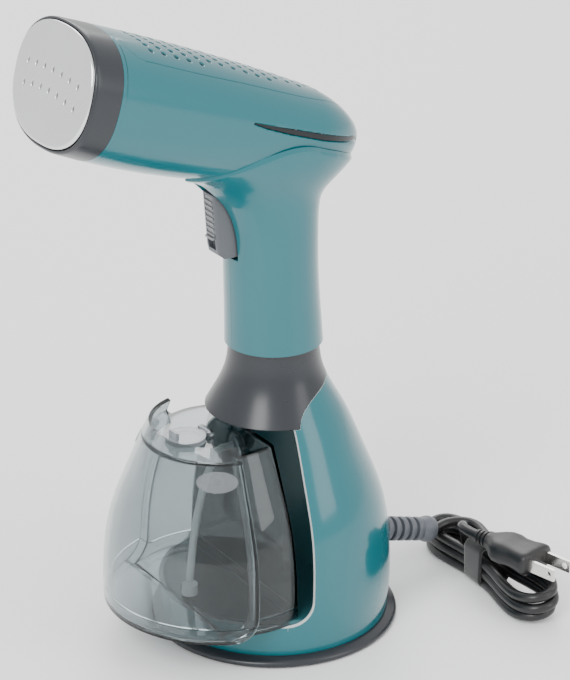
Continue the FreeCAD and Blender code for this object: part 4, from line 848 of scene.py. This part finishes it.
def makeTankBase():
    sides = tankOutline(np.r_[tank["low"], tank["low"] + 0.3, np.linspace(tank["low"] + 1.0, tank["seam"] - 0.15, 16)])
    bottom = sides[0]
    centre = np.array([0.0, -24.0 - tank["out"], tank["low"]])
    share = np.linspace(1, 0, 14)[:-1, None, None]
    under = bottom[None] + (centre - bottom)[None] * share
    pole = np.repeat(centre[None, None], bottom.shape[0], 1)
    tray = np.concatenate([pole, under[1:], sides])
    base = makePiece("tankBase", [gridPart(tray, closedColumns=True)], "tank", clearTank,
                     thick=tank["wall"], bevel=0.35)
    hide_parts("tank_base")


makeTankShell()
makeTankBase()
print("tank ready")


# finishes of the nodes that are shown as they were designed
finishes = {
    # bay_liner takes the darker teal, painted shade inside the bay
    "base_cover": slateGrey, "base_screws": steelDull, "foot_pad": rubberBlack, "bay_liner": tealLinerShaded,
    "indicator_lamps": lampClear, "plate_gasket": siliconePale, "heater_block": castMetal, "heating_element": steelDull,
    "chamber_cover": castMetal, "heater_carrier": nylonBlack, "thermostat": steelDull, "thermal_fuse": nylonWhite,
    "steam_inlet": bladeMetal, "trigger": triggerGrey, "steam_lock": sliderGrey, "trigger_pin": steelDull,
    "trigger_spring": steelDull, "trigger_bracket": nylonBlack, "microswitch": nylonBlack, "switch_plunger": nylonWhite,
    "outlet_port": smokedClear, "outlet_valve": siliconePale, "pickup_tube": siliconePale, "pickup_strainer": nylonWhite,
    "filler_cap": smokedClear, "cap_pin": steelDull, "cap_ears": clearTank, "release_button_right": smokedClear,
    "release_button_left": smokedClear, "button_spring_right": steelDull, "button_spring_left": steelDull,
    "docking_socket": nylonWhite, "pump": nylonWhite, "pump_cradle": nylonBlack, "suction_hose": siliconePale,
    "pressure_hose": siliconePale, "terminal_block": nylonWhite, "wiring_loom": rubberBlack, "control_board": boardGreen,
    "cord_clamp": nylonBlack, "plug_blades": bladeMetal,
}
for nodeName, material in finishes.items():
    slots = nodes[nodeName].data.materials
    slots.clear()
    slots.append(material)


# floor and light
studio = {"floor": (0.97, 0.97, 0.97), "sky": (1.0, 1.0, 1.0), "skyStrength": 1.3}
floorMesh = bpy.data.meshes.new("floor")
floorMesh.from_pydata([(-9, -9, 0), (9, -9, 0), (9, 9, 0), (-9, 9, 0)], [], [(0, 1, 2, 3)])
floor = bpy.data.objects.new("floor", floorMesh)
floorMesh.materials.append(newMaterial("floorPale", studio["floor"], 0.6, bump=0.0, tint=0.0))
scene.collection.objects.link(floor)

world = bpy.data.worlds.new("studio")
world.use_nodes = True
world.node_tree.nodes["Background"].inputs["Color"].default_value = (*studio["sky"], 1)
world.node_tree.nodes["Background"].inputs["Strength"].default_value = studio["skyStrength"]
scene.world = world


def addLight(name, spot, aim, wide, tall, power):
    data = bpy.data.lights.new(name, "AREA")
    data.shape, data.size, data.size_y, data.energy = "RECTANGLE", wide, tall, power
    light = bpy.data.objects.new(name, data)
    light.location = spot
    light.rotation_euler = (Vector(aim) - Vector(spot)).to_track_quat("-Z", "Y").to_euler()
    scene.collection.objects.link(light)


addLight("key", (0.9, -1.5, 1.6), (0, -0.02, 0.18), 0.9, 1.3, 34)
addLight("fill", (1.7, 0.9, 1.1), (0, 0, 0.15), 0.8, 1.6, 10)
addLight("back", (-1.3, 0.7, 1.3), (0, 0, 0.2), 1.0, 1.2, 14)
print("studio ready")
